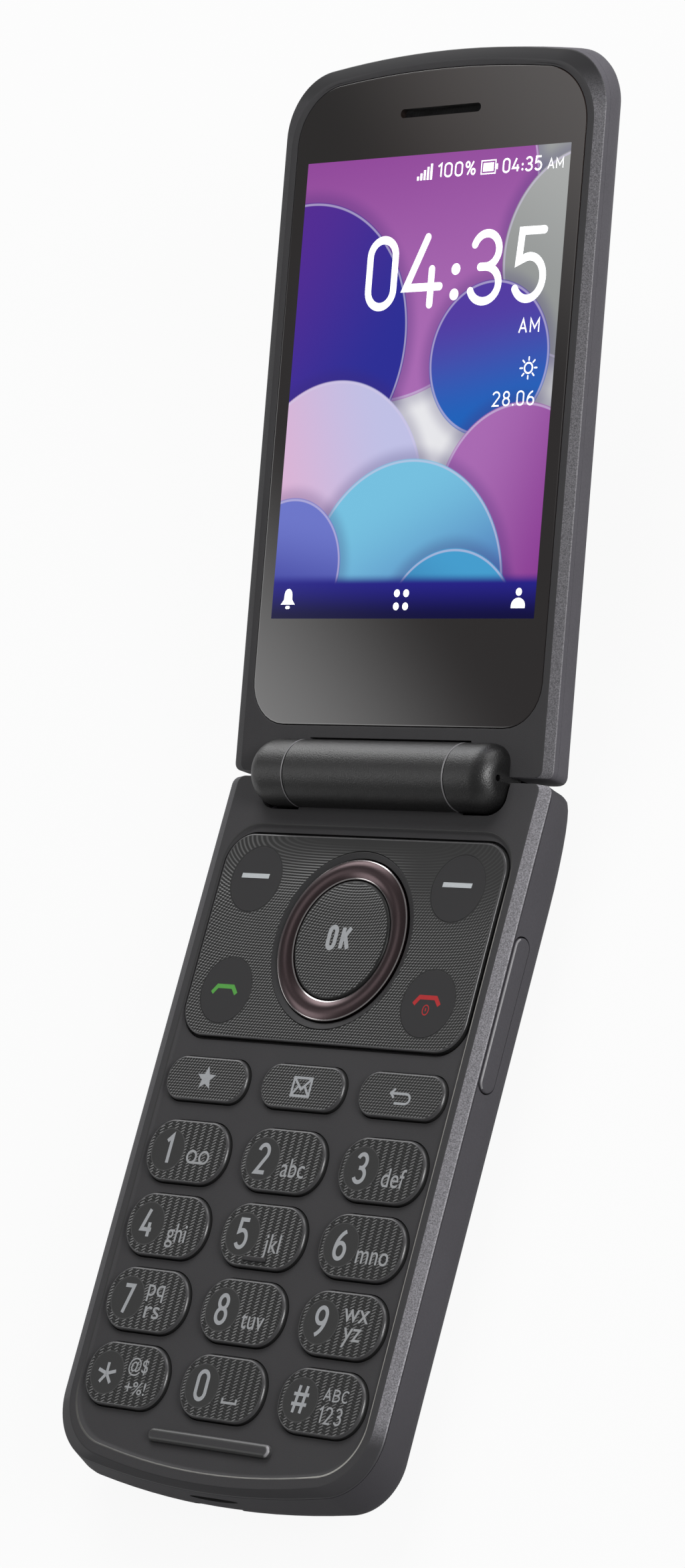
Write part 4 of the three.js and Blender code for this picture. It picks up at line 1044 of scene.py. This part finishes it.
def ring_body(name, profile, marks=None):
    """Closed ring about the navigation centre; profile has (inset from the ring's edge, level)."""
    shape = oval_shape(0, NAV_Y, RING_WIDTH, RING_LENGTH)
    return loft(name, [at(shape(-inset), level) for inset, level in profile], "base", marks, closed=True)


def navigation_ring():
    edge, chamfer, rise = PLATE_TOP + 0.05, 0.17, 0.06
    low = edge + rise + 0.01
    outer = [(0.02, RING_FOOT), (0.0, edge - 0.02), (0.02, edge), (chamfer, edge + rise)]
    inner = [(RING_BAND - inset, level) for inset, level in reversed(outer)]
    reach = RING_BAND / 2 - chamfer - 0.02
    turns = [2 * i / RING_STEPS - 1 for i in range(RING_STEPS + 1)]
    crown = [(RING_BAND / 2 + reach * t, low + (RING_TOP - low) * (1 - t * t)) for t in turns]
    profile = outer + crown + inner
    bright = (2, len(profile) - 4)
    ring = ring_body("ring", profile, [int(i in bright) for i in range(len(profile))])
    dress(ring, "nav_ring", "ring", "ring", "ring_edge", replaces="nav_ring")


def tray_keys():
    for name, x, y, width, length, radius in KEYS:
        shape = rect_shape(x, y, width + 2 * KEY_SPREAD, length + 2 * KEY_SPREAD, radius + KEY_SPREAD)
        # The key's upper bevel rings take the rim finish, a painted highlight.
        cap = soft_prism(name + "_cap", shape, KEY_FOOT, KEY_TOP, *KEY_EDGE, rim=4)
        look = "function_key"
        if radius == KEY_RADIUS:
            look = name
            materials[name] = woven_material(name, x + SPOT_X, y)
        dress(cap, name, "key", look, "rim", replaces=name)


def corner_keys():
    for name, x, y in CORNER_KEYS:
        shape = oval_shape(x, y, CORNER_KEY_WIDTH, CORNER_KEY_LENGTH)
        cap = soft_prism(name + "_cap", shape, KEY_FOOT, CORNER_TOP, *CORNER_EDGE)
        dress(cap, name, "key", "smooth", replaces=name)


def centre_key():
    inset = RING_BAND + CENTRE_GAP
    shape = oval_shape(0, NAV_Y, RING_WIDTH - 2 * inset, RING_LENGTH - 2 * inset)
    cap = soft_prism("key_ok_cap", shape, KEY_FOOT, CENTRE_TOP, *CENTRE_EDGE)
    dress(cap, "key_ok", "key", "centre_key", replaces="key_ok")


def side_key():
    bar = side_bar("side_key", ROCKER_INNER, ROCKER_FACE, ROCKER_Z, ROCKER_LENGTH, ROCKER_HEIGHT,
                   ROCKER_CROWN)
    bar.data.materials.append(SPARE[1])
    top = max(v.co.z for v in bar.data.vertices)
    # Faces along the upper outer edge take a painted highlight.
    for polygon in bar.data.polygons:
        normal = polygon.normal
        if 0.3 < normal.x < 0.95 and normal.z > 0.3 and polygon.center.z > top - 0.6 * MM:
            polygon.material_index = 1
    dress(bar, "volume_rocker", "shell", "wall", "rocker_highlight", replaces="volume_rocker")


# Lid
def lens_ring(grow, level):
    return half_outline(1, level, LENS_HALF + grow, LENS_NEAR - grow, LENS_FAR + grow,
                        LENS_NEAR_RADIUS + grow, LENS_FAR_RADIUS + grow, LENS_ARCH)


def lid_front():
    section = LID_SECTION
    ledge = FACE - LENS_THICKNESS - 0.3

    def module_ring(level):
        return half_outline(1, level, DISPLAY_HALF + MODULE_BORDER, DISPLAY_NEAR - MODULE_BORDER,
                            DISPLAY_FAR + MODULE_BORDER, 1, 1, 0.01)

    rings, marks = front_rings(section, MODULE_LEVEL, LID_RIM, SHELL_WALL + 0.3, 0.14)
    edge = rounded_corner((1, FACE), (LENS_SEAT, FACE), (LENS_SEAT, ledge), 0.06)
    seat = [lens_ring(*place) for place in [(LENS_SEAT + 0.3, FACE)] + edge + [(LENS_SEAT, ledge)]]
    rings = [module_ring(MODULE_LEVEL)] + rings + seat + [module_ring(ledge)]
    marks = [0] + marks + [0] * (len(seat) + 1)
    shell = loft("lid_front", rings, "lid", marks, closed=True)
    cut(shell, [straight_pocket("lid", MIDDLE_HALF + KNUCKLE_SPLIT)])
    dress(shell, "lid", "shell", "shell", "lid_wall", "lid_strip", replaces="lid_front_housing")


def barrel_caps():
    start, lip = MIDDLE_HALF + KNUCKLE_SPLIT, 0.1
    profile = [(1.9, start), (KNUCKLE_RADIUS - lip, start), (KNUCKLE_RADIUS, start + lip)]
    profile += round_end(KNUCKLE_RADIUS, HINGE_HALF) + [(0.9, HINGE_HALF)]
    # The chamfer at the split takes the edge finish, a painted highlight.
    marks = [0, 1] + [0] * (len(profile) - 3)
    for sign, name in ((-1, "cap_left"), (1, "cap_right")):
        cap = turned(name, on_side(sign, profile), "lid", marks[::sign])
        if sign > 0:
            hole = ellipse(0, PIN_HOLE_LEVEL, PIN_HOLE, PIN_HOLE, 24)
            ends = (HINGE_HALF - PIN_HOLE_DEPTH, HINGE_HALF + OVERRUN)
            cut(cap, [loft("cut", [[(x, y, z) for y, z in hole] for x in ends], "lid")])
        dress(cap, "lid", "shell", "barrel", "edge", replaces="lid_front_housing")


def lid_rear():
    section = LID_SECTION
    top = FACE - LID_RIM + 0.02
    back = FACE - section["thickness"]
    inner = [
        inner_ring(section, FACE - top, SHELL_WALL, LID_INNER_NEAR, 1),
        inner_ring(section, FACE - top - 1.6, SHELL_WALL + 0.6, LID_INNER_NEAR, 2),
        half_outline(1, back + SHELL_WALL, HALF - 8, 7, LID_LENGTH - 7, 1, FAR_CORNER_RADIUS - 4,
                     section["far_arch"]),
    ]
    shell = loft("lid_rear", shell_rings(section, top, section["thickness"])[::-1] + inner, "lid")
    panes = (
        ("outer_pane", "outer_window", PANE_EDGE,
         rect_shape(0, OUTER_Y, OUTER_WIDTH, OUTER_LENGTH, OUTER_RADIUS)),
        ("camera_eye", "camera_lens", CAMERA_EDGE, oval_shape(0, CAMERA_Y, CAMERA_WIDTH, CAMERA_WIDTH)),
    )
    openings = [prism("cut", pane[-1](PANE_GAP), back - OVERRUN, back + 1, "lid") for pane in panes]
    cut(shell, [straight_pocket("lid", HINGE_HALF + 0.3)] + openings)
    dress(shell, "lid", "shell", "lid_wall", replaces="lid_rear_housing")
    for name, node, edge, shape in panes:
        pane = soft_prism(name, shape, -back - PANE_THICKNESS, -back, *edge, "lid")
        flip_down(pane)
        dress(pane, "lid", "lens", "outer_glass", replaces=node)


def flip_down(obj):
    """Mirrors a piece of the lid, drawn upwards, about the hinge plane, so that its face looks down."""
    obj.data.transform(LID_PLACE @ Matrix.Scale(-1, 4, (0, 0, 1)) @ LID_PLACE.inverted())
    obj.data.flip_normals()
    finish_mesh(obj.data)


def lens():
    low = FACE - LENS_THICKNESS
    edge = rounded_corner((0, low), (0, FACE), (-1, FACE), FILLET)
    pane = loft("lens_pane", [lens_ring(*place) for place in [(0, low)] + edge + [(-0.2, FACE)]], "lid")
    slot = rounded_path(0, EAR_Y, EAR_LENGTH, EAR_WIDTH, EAR_WIDTH / 2)
    cut(pane, [prism("cut", slot, low - OVERRUN, OVERRUN, "lid")])
    dress(pane, "lid", "lens", "lens", replaces="display_window")
    path = rounded_path(0, (DISPLAY_NEAR + DISPLAY_FAR) / 2, 2 * DISPLAY_HALF, DISPLAY_FAR - DISPLAY_NEAR,
                        0.05, 1)
    dress(prism("picture", path, FACE - 0.02, FACE + 0.012, "lid"), "lid", "screen", "display")


# Lettering
def bow(cx, cy, rx, ry, start, end):
    """Points of an elliptical arc between two angles in degrees."""
    steps = max(3, round(abs(end - start) / 9))
    return arc(cx, cy, rx, ry, math.radians(start), math.radians(end), steps)


def loop(cx, cy, rx, ry):
    return bow(cx, cy, rx, ry, 0, 360)[:-1] + [None]


# Strokes of each sign in a box one unit high; a stroke that ends in None is closed
SIGNS = {
    "0": [bow(0.25, 0.75, 0.25, 0.25, 0, 180) + bow(0.25, 0.25, 0.25, 0.25, 180, 360) + [None]],
    "1": [[(0.07, 0.8), (0.3, 1.0), (0.3, 0.0)]],
    "2": [bow(0.25, 0.74, 0.25, 0.26, 168, -32) + [(0.02, 0.0), (0.5, 0.0)]],
    "3": [bow(0.24, 0.755, 0.23, 0.245, 158, -82),
          [(0.15, 0.51)] + bow(0.24, 0.255, 0.26, 0.255, 88, -158)],
    "4": [[(0.3, 1.0), (0.0, 0.26), (0.54, 0.26)], [(0.4, 0.52), (0.4, 0.0)]],
    "5": [[(0.47, 1.0), (0.08, 1.0), (0.05, 0.56)] + bow(0.24, 0.31, 0.26, 0.31, 112, -150)],
    "6": [loop(0.25, 0.28, 0.25, 0.28), bow(0.62, 0.30, 0.62, 0.72, 180, 110)],
    "7": [[(0.0, 1.0), (0.5, 1.0), (0.16, 0.0)]],
    "8": [loop(0.25, 0.76, 0.215, 0.24), loop(0.25, 0.265, 0.25, 0.265)],
    "9": [loop(0.25, 0.72, 0.25, 0.28), bow(-0.12, 0.70, 0.62, 0.72, 0, -70)],
    "*": [[(0.25, 0.5), (0.25 + 0.46 * math.cos(a), 0.5 + 0.46 * math.sin(a))]
          for a in (math.radians(90 + 72 * i) for i in range(5))],
    "#": [[(0.12, 0.0), (0.22, 1.0)], [(0.42, 0.0), (0.52, 1.0)], [(0.0, 0.32), (0.62, 0.32)],
          [(0.02, 0.68), (0.64, 0.68)]],
    "A": [[(0.0, 0.0), (0.27, 1.0), (0.54, 0.0)], [(0.1, 0.33), (0.44, 0.33)]],
    "B": [[(0.24, 0.53)] + bow(0.24, 0.265, 0.24, 0.265, 90, -90) + [(0.0, 0.0), (0.0, 1.0)]
          + bow(0.22, 0.765, 0.22, 0.235, 90, -90) + [(0.0, 0.53)]],
    "C": [bow(0.27, 0.5, 0.27, 0.5, 48, 312)],
    "K": [[(0.0, 0.0), (0.0, 1.0)], [(0.5, 1.0), (0.03, 0.42)], [(0.18, 0.6), (0.54, 0.0)]],
    "M": [[(0.0, 0.0), (0.0, 1.0), (0.3, 0.32), (0.6, 1.0), (0.6, 0.0)]],
    "%": [loop(0.15, 0.78, 0.13, 0.2), loop(0.57, 0.22, 0.13, 0.2), [(0.58, 1.0), (0.14, 0.0)]],
    ":": [[(0.08, 0.5)], [(0.08, 0.12)]],
    ".": [[(0.08, 0.03)]],
}
SIGNS["O"] = SIGNS["0"]


def ribbon(points, width, rounded=False):
    """Flat band of even width along points: a list of outlines in its plane."""
    closed = points[-1] is None
    points = [Vector(p) for p in (points[:-1] if closed else points)]
    radius = width / 2
    if len(points) == 1:
        return [ellipse(*points[0], 1.25 * width, 1.25 * width, 24)]
    points = [p for i, p in enumerate(points) if i == 0 or (p - points[i - 1]).length > 1e-5]
    count = len(points)
    sides = []
    for i in range(count):
        before = points[i] - points[i - 1] if closed or i else points[1] - points[0]
        after = points[(i + 1) % count] - points[i] if closed or i < count - 1 else before
        before, after = before.normalized(), after.normalized()
        across = (before + after).normalized()
        across = Vector((-across.y, across.x))
        reach = radius / max(0.35, across.dot(Vector((-before.y, before.x))))
        sides.append((points[i] + across * reach, points[i] - across * reach))
    pairs = zip(sides, sides[1:] + (sides[:1] if closed else []))
    bands = [[tuple(p) for p in (one[1], two[1], two[0], one[0])] for one, two in pairs]
    if rounded and not closed:
        for tip, inner in ((points[0], points[1]), (points[-1], points[-2])):
            out = tip - inner
            start = math.atan2(out.y, out.x) - QUARTER
            bands.append(arc(tip.x, tip.y, radius, radius, start, start + math.pi, 12))
    return bands


# Where print lies: level, half, body and record slot
SCREEN = (FACE + 0.004, "lid", "lid", "screen")


def on_key(name, level=KEY_TOP):
    return level, "base", name, "key"


def flat_piece(name, outlines, place, material):
    """Printed piece of flat outlines, each a hair above the last."""
    level, half, body, slot = place
    vertices, faces = [], []
    for i, outline in enumerate(outlines):
        area = sum(a[0] * b[1] - b[0] * a[1] for a, b in zip(outline, outline[1:] + outline[:1]))
        outline = outline if area > 0 else outline[::-1]
        faces.append(tuple(range(len(vertices), len(vertices) + len(outline))))
        vertices += at(outline, level + PRINT_RISE + PRINT_STEP * i)
    dress(mesh_object(name, vertices, faces, half), body, slot, material)


def write(name, text, x, y, height, weight, place, material, widen=0.9, gap=0.2, align=0.5,
          rounded=False):
    """Line of signs whose outer height is height, set about x by align."""
    scale = height - weight
    wide = scale * widen
    cursor, starts = 0.0, []
    for letter in text:
        xs = [p[0] for stroke in SIGNS[letter] for p in stroke if p]
        starts.append(cursor - min(xs) * wide)
        cursor = starts[-1] + max(xs) * wide + weight + gap * scale
    left = x - (cursor - gap * scale - weight) * align - weight * (align - 0.5)
    outlines = []
    for letter, start in zip(text, starts):
        for stroke in SIGNS[letter]:
            placed = [p and (left + start + p[0] * wide, y + (p[1] - 0.5) * scale) for p in stroke]
            outlines += ribbon(placed, weight, rounded)
    flat_piece(name, outlines, place, material)


def letters(name, text, x, y, height, place, material, squeeze):
    """Letters of the built-in face, turned into a mesh."""
    level, half, body, slot = place
    curve = bpy.data.curves.new(name, "FONT")
    curve.body = text
    curve.size = 1
    curve.align_x = "CENTER"
    curve.offset = 0.004
    curve.resolution_u = 6
    holder = linked(name, curve)
    mesh = evaluated_mesh(holder)
    bpy.data.objects.remove(holder)
    bpy.data.curves.remove(curve)
    scale = height / 0.72
    mesh.transform(PLACES[half] @ Matrix.Scale(MM, 4)
                   @ Matrix.Translation((x, y - height / 2, level + PRINT_RISE))
                   @ Matrix.Diagonal((scale * squeeze, scale, 1, 1)))
    dress(linked(name, mesh), body, slot, material)


def drawn(name, suffix, strokes, weight, material="legend", solid=()):
    """Sign of strokes and solid outlines about a key's centre."""
    x, y = KEY_CENTRES[name]
    outlines = []
    for stroke in strokes:
        outlines += ribbon([p and (x + p[0], y + p[1]) for p in stroke], weight)
    outlines += [[(x + a, y + b) for a, b in outline] for outline in solid]
    flat_piece(name + suffix, outlines, on_key(name), material)


def key_legends():
    words = dict(key_2="abc", key_3="def", key_4="ghi", key_5="jkl", key_6="mno", key_8="tuv")
    small = {name: [(text, 2.1, -0.72, 2.4, 0.86)] for name, text in words.items()}
    small["key_7"] = [("pq", 1.3, 1.65, 2.2, 1.0), ("rs", 1.4, -1.05, 2.3, 1.15)]
    small["key_9"] = [("wx", 2.1, 1.65, 2.45, 0.95), ("yz", 2.1, -0.6, 2.45, 0.95)]
    small["key_asterisk"] = [("@$", 1.75, 1.35, 1.7, 0.92), ("+%!", 2.1, -1.4, 1.6, 1.1)]
    shapes = {"*": (3.4, 0.42, 1.1, -0.15), "#": (3.7, 0.42, 1.15, 0.05), "7": (3.9, 0.5, 0.82, -0.2)}
    signs = dict(key_asterisk="*", key_hash="#")
    for name, x, y, width, length, radius in KEYS:
        if radius == FUNCTION_RADIUS:
            continue
        sign = signs.get(name, name[-1])
        size, weight, widen, lift = shapes.get(sign, (3.9, 0.5, 0.9, 0.05))
        write(name + "_numeral", sign, x + NUMERAL_X, y + lift, size, weight, on_key(name), "legend", widen)
        for i, (text, side, lift, size, squeeze) in enumerate(small.get(name, [])):
            letters(f"{name}_letters_{i}", text, x + side, y + lift, size, on_key(name), "faint", squeeze)
    reels = [loop(2.1 - 1.02, -0.6, 0.72, 0.72), loop(2.1 + 1.02, -0.6, 0.72, 0.72),
             [(1.08, -1.32), (3.12, -1.32)]]
    drawn("key_1", "_mailbox", reels, 0.3, "faint")
    drawn("key_0", "_space", [[(0.65, -1.05), (0.65, -1.6), (2.85, -1.6), (2.85, -1.05)]], 0.3, "faint")
    x, y = KEY_CENTRES["key_hash"]
    write("key_hash_letters", "ABC", x + 2.2, y + 1, 1.5, 0.2, on_key("key_hash"), "faint", 1.45, 0.18)
    write("key_hash_numbers", "123", x + 2, y - 1.4, 2.1, 0.24, on_key("key_hash"), "faint", 0.95, 0.22)
    star = [(r * math.sin(math.pi * i / 5), 0.05 + r * math.cos(math.pi * i / 5))
            for i, r in enumerate([1.6, 0.68] * 5)]
    drawn("key_favourite", "_star", [], 0.3, solid=[star])
    w, h = 1.42, 1.12
    flaps = [[(-w, h), (0, -0.3), (w, h)], [(-w, -h), (-0.45, 0.15)], [(w, -h), (0.45, 0.15)]]
    drawn("key_message", "_letter", [block(-w, -h, w, h) + [None]] + flaps, 0.32)
    shaft = [(-1.5, 0.2), (0.9, 0.2)] + bow(0.9, -0.4, 0.65, 0.6, 90, -90) + [(-0.75, -1.0)]
    drawn("key_back", "_arrow", [shaft, [(-0.95, 0.76), (-1.55, 0.2), (-0.95, -0.36)]], 0.3)


def tactile_bar():
    """Raised bar at the lower edge of the middle number key."""
    x, y = KEY_CENTRES["key_5"]
    shape = rect_shape(x - 0.2, y - KEY_DEPTH / 2 + 0.95, *TACTILE_BAR, 6)
    bar = soft_prism("key_5_bar", shape, KEY_TOP - 0.3, KEY_TOP + TACTILE_RISE, *TACTILE_EDGE)
    dress(bar, "key_5", "key", "smooth")


def navigation_legends():
    for name, x, y in CORNER_KEYS:
        x += CORNER_SIGN_SHIFT
        if name.startswith("key_soft"):
            material = "bright"
            dash = ((-2.3, 0.1), (2.25, 0.1), (2.3, 0.7), (-2.25, 0.7))
            outlines = [[(x + a, y + b) for a, b in dash]]
        else:
            material = {"key_call": "green", "key_end": "red"}[name]
            lift = 0.3 if name == "key_end" else 0.0
            handset = ((-2.0, -0.45), (-1.25, 0.45), (1.25, 0.45), (2.0, -0.45))
            outlines = ribbon([(x + a, y + b + lift) for a, b in handset], 0.55)
        if name == "key_end":
            outlines += ribbon([(x + 0.1, y - 0.55), (x + 0.1, y - 0.95)], 0.16)
            outlines += ribbon(loop(x + 0.1, y - 0.8, 0.46, 0.6), 0.14)
        flat_piece(name + "_sign", outlines, on_key(name, CORNER_TOP), material)
    write("key_ok_letters", "OK", -0.3, NAV_Y + 0.2, 3.25, 0.6, on_key("key_ok", CENTRE_TOP), "legend", 0.8)


def screen_signs():
    for sign, x, widen in (("0", -7.45, 1.0), ("4", -0.6, 1.22), ("3", 9.35, 1.06), ("5", 16.35, 1.06)):
        write("clock_" + sign, sign, x, CLOCK_Y, CLOCK_HEIGHT, 1.02, SCREEN, "white", widen, rounded=True)
    write("clock_colon", ":", 4.6, CLOCK_Y, CLOCK_HEIGHT, 1.15, SCREEN, "white", 1.0)
    for name, text, x, y, height, weight, widen, gap in (
        ("clock_half_day", "AM", 18.6, 54.3, 1.8, 0.2, 1.35, 0.25),
        ("status_time", "04:35", 17.0, 73.95, 1.85, 0.25, 1.2, 0.17),
        ("status_half_day", "AM", 20.35, 73.75, 1.35, 0.15, 1.4, 0.22),
        ("status_charge", "100%", 6.5, 74.0, 1.85, 0.24, 1.32, 0.24),
        ("date", "28.06", 18.7, 45.6, 1.85, 0.2, 1.2, 0.25),
    ):
        write(name, text, x, y, height, weight, SCREEN, "white", widen, gap, 1.0)
    sun_x, sun_y = 17.4, 49.2
    sun = ribbon(loop(sun_x, sun_y, 0.62, 0.62), 0.22)
    for a in (math.pi / 4 * i for i in range(8)):
        ray = [(sun_x + r * math.cos(a), sun_y + r * math.sin(a)) for r in (0.95, 1.3)]
        sun += ribbon(ray, 0.2, True)
    bell = [(-19.9, 20.9), (-17.5, 20.9), (-18.0, 21.5), (-18.05, 22.2)]
    bell += bow(-18.7, 22.1, 0.65, 0.75, 15, 165) + [(-19.35, 22.2), (-19.4, 21.5)]
    figures = dict(
        status_signal=[block(-2.95 + 0.53 * i, 72.95, -2.6 + 0.53 * i, 73.45 + 0.37 * i)
                       for i in range(5)],
        status_battery=ribbon(block(7.4, 73.15, 9.65, 74.75) + [None], 0.16)
        + [block(7.68, 73.42, 9.37, 74.48), block(9.78, 73.6, 10.02, 74.3)],
        weather_sign=sun,
        menu_sign=[rounded_path(x, y, 0.95, 0.95, 0.47, 6) for y in (22.25, 20.65) for x in (-0.72, 0.78)],
        bell_sign=[bell, rounded_path(-18.7, 20.55, 0.75, 0.4, 0.19, 4)],
        contact_sign=[rounded_path(18.7, 22.35, 0.95, 0.95, 0.47, 6),
                      [(17.6, 20.4), (19.8, 20.4)] + bow(18.7, 20.7, 1.1, 0.95, 0, 180)],
    )
    for name, outlines in figures.items():
        flat_piece(name, outlines, SCREEN, "white")


def dress_nodes():
    """Finishes what shows of the carried-over nodes."""
    looks = dict(battery="cell", main_board="board", lid_board="board", key_mat="rubber",
                 nav_actuator="rubber")
    for name in ("loudspeaker", "earpiece_mesh", "camera_module", "hinge_bush", "display_module",
                 "outer_display"):
        looks[name] = "dark"
    for name, obj in frame["nodes"].items():
        for slot in obj.material_slots:
            slot.material = materials[looks.get(name, "steel")]


# Camera, light and floor
def camera():
    data = bpy.data.cameras.new("camera")
    data.sensor_width = SENSOR
    data.lens = FOCAL_PIXELS * SENSOR / PHOTO_HEIGHT
    data.clip_start = 0.01
    data.clip_end = 20
    forward = Vector(CAMERA_FORWARD).normalized()
    right = forward.cross(Vector(CAMERA_UP).normalized())
    rotation = Matrix((right, right.cross(forward), -forward)).transposed().to_4x4()
    obj = linked("camera", data)
    obj.matrix_world = Matrix.Translation(Vector(CAMERA_PLACE_MM) * MM) @ rotation
    bpy.context.scene.camera = obj


def area_light(name, place, size, power, mirrored):
    data = bpy.data.lights.new(name, "AREA")
    data.shape = "RECTANGLE"
    data.size, data.size_y = size
    data.energy = power
    obj = linked(name, data)
    obj.visible_glossy = mirrored
    turn = (Vector(LIGHT_TARGET) - Vector(place)).to_track_quat("-Z", "Y").to_matrix().to_4x4()
    obj.matrix_world = Matrix.Translation(place) @ turn


def ray(tree, kind):
    """1 where a ray is of a kind, such as Camera, and 0 where it isn't."""
    return build("LightPath", {}, f"Is {kind} Ray", tree)


def surroundings():
    """World whose round lights only reflections see, over a plain level."""
    scene = bpy.context.scene
    scene.view_settings.view_transform = "Standard"
    scene.world = bpy.data.worlds.new("world")
    scene.world.use_nodes = True
    tree = scene.world.node_tree
    direction = build("TexCoord", {}, "Generated", tree)
    side, height = split(direction)[::2]
    studio = (ramp(height, 0.02, 0.34, 1.0, 0.0) * ramp(side, -0.6, 0.1, 0.1)
              + ramp(height, 0.2, 0.5, 0.3 * STUDIO_BASE, STUDIO_BASE)
              + ramp(height, 0.16, 0.06) * ramp(side, -0.3, -0.8))
    for centre, inner, outer, level in STUDIO_SPOTS:
        axis = tuple(Vector(centre).normalized())
        cosine = build("VectorMath", {0: direction, 1: axis}, "Value", operation="DOT_PRODUCT")
        start, end = math.cos(math.radians(outer)), math.cos(math.radians(inner))
        studio = studio + ramp(cosine, start, end, high=level)
    mirrored = calc("MAXIMUM", ray(tree, "Glossy"), ray(tree, "Transmission"))
    camera_ray = ray(tree, "Camera")
    plain = (1 - mirrored) * WORLD_LEVEL + mirrored * studio
    background = tree.nodes["Background"]
    feed(background.inputs["Color"], (1, 1, 1))
    feed(background.inputs["Strength"], (1 - camera_ray) * plain + camera_ray)
    for light in AREA_LIGHTS:
        area_light(*light)


def floor():
    """Sheet that is nearly white to the camera and a soft grey to the phone."""
    size = FLOOR_SIZE
    mesh = bpy.data.meshes.new("floor")
    mesh.from_pydata(at(block(-size, -size, size, size), FLOOR_LEVEL), [], [(0, 1, 2, 3)])
    made = new_material("floor", (0.62, 0.62, 0.62), 0.9, specular=0.0)
    tree = made.node_tree
    share = ray(tree, "Camera") * 0.93 + ray(tree, "Glossy") * 0.15
    plain = Field(tree.nodes["Principled BSDF"].outputs["BSDF"])
    mixed = build("MixShader", {0: share, 1: plain, 2: build("Emission", {}, tree=tree)})
    feed(tree.nodes["Material Output"].inputs["Surface"], mixed)
    mesh.materials.append(made)
    linked("floor", mesh)


dress_nodes()
base_front()
middle_barrel()
base_rear()
battery_cover()
navigation_plate()
navigation_ring()
tray_keys()
corner_keys()
centre_key()
side_key()
lid_front()
barrel_caps()
lid_rear()
lens()
key_legends()
tactile_bar()
navigation_legends()
screen_signs()
camera()
surroundings()
floor()
for material in SPARE:
    bpy.data.materials.remove(material)
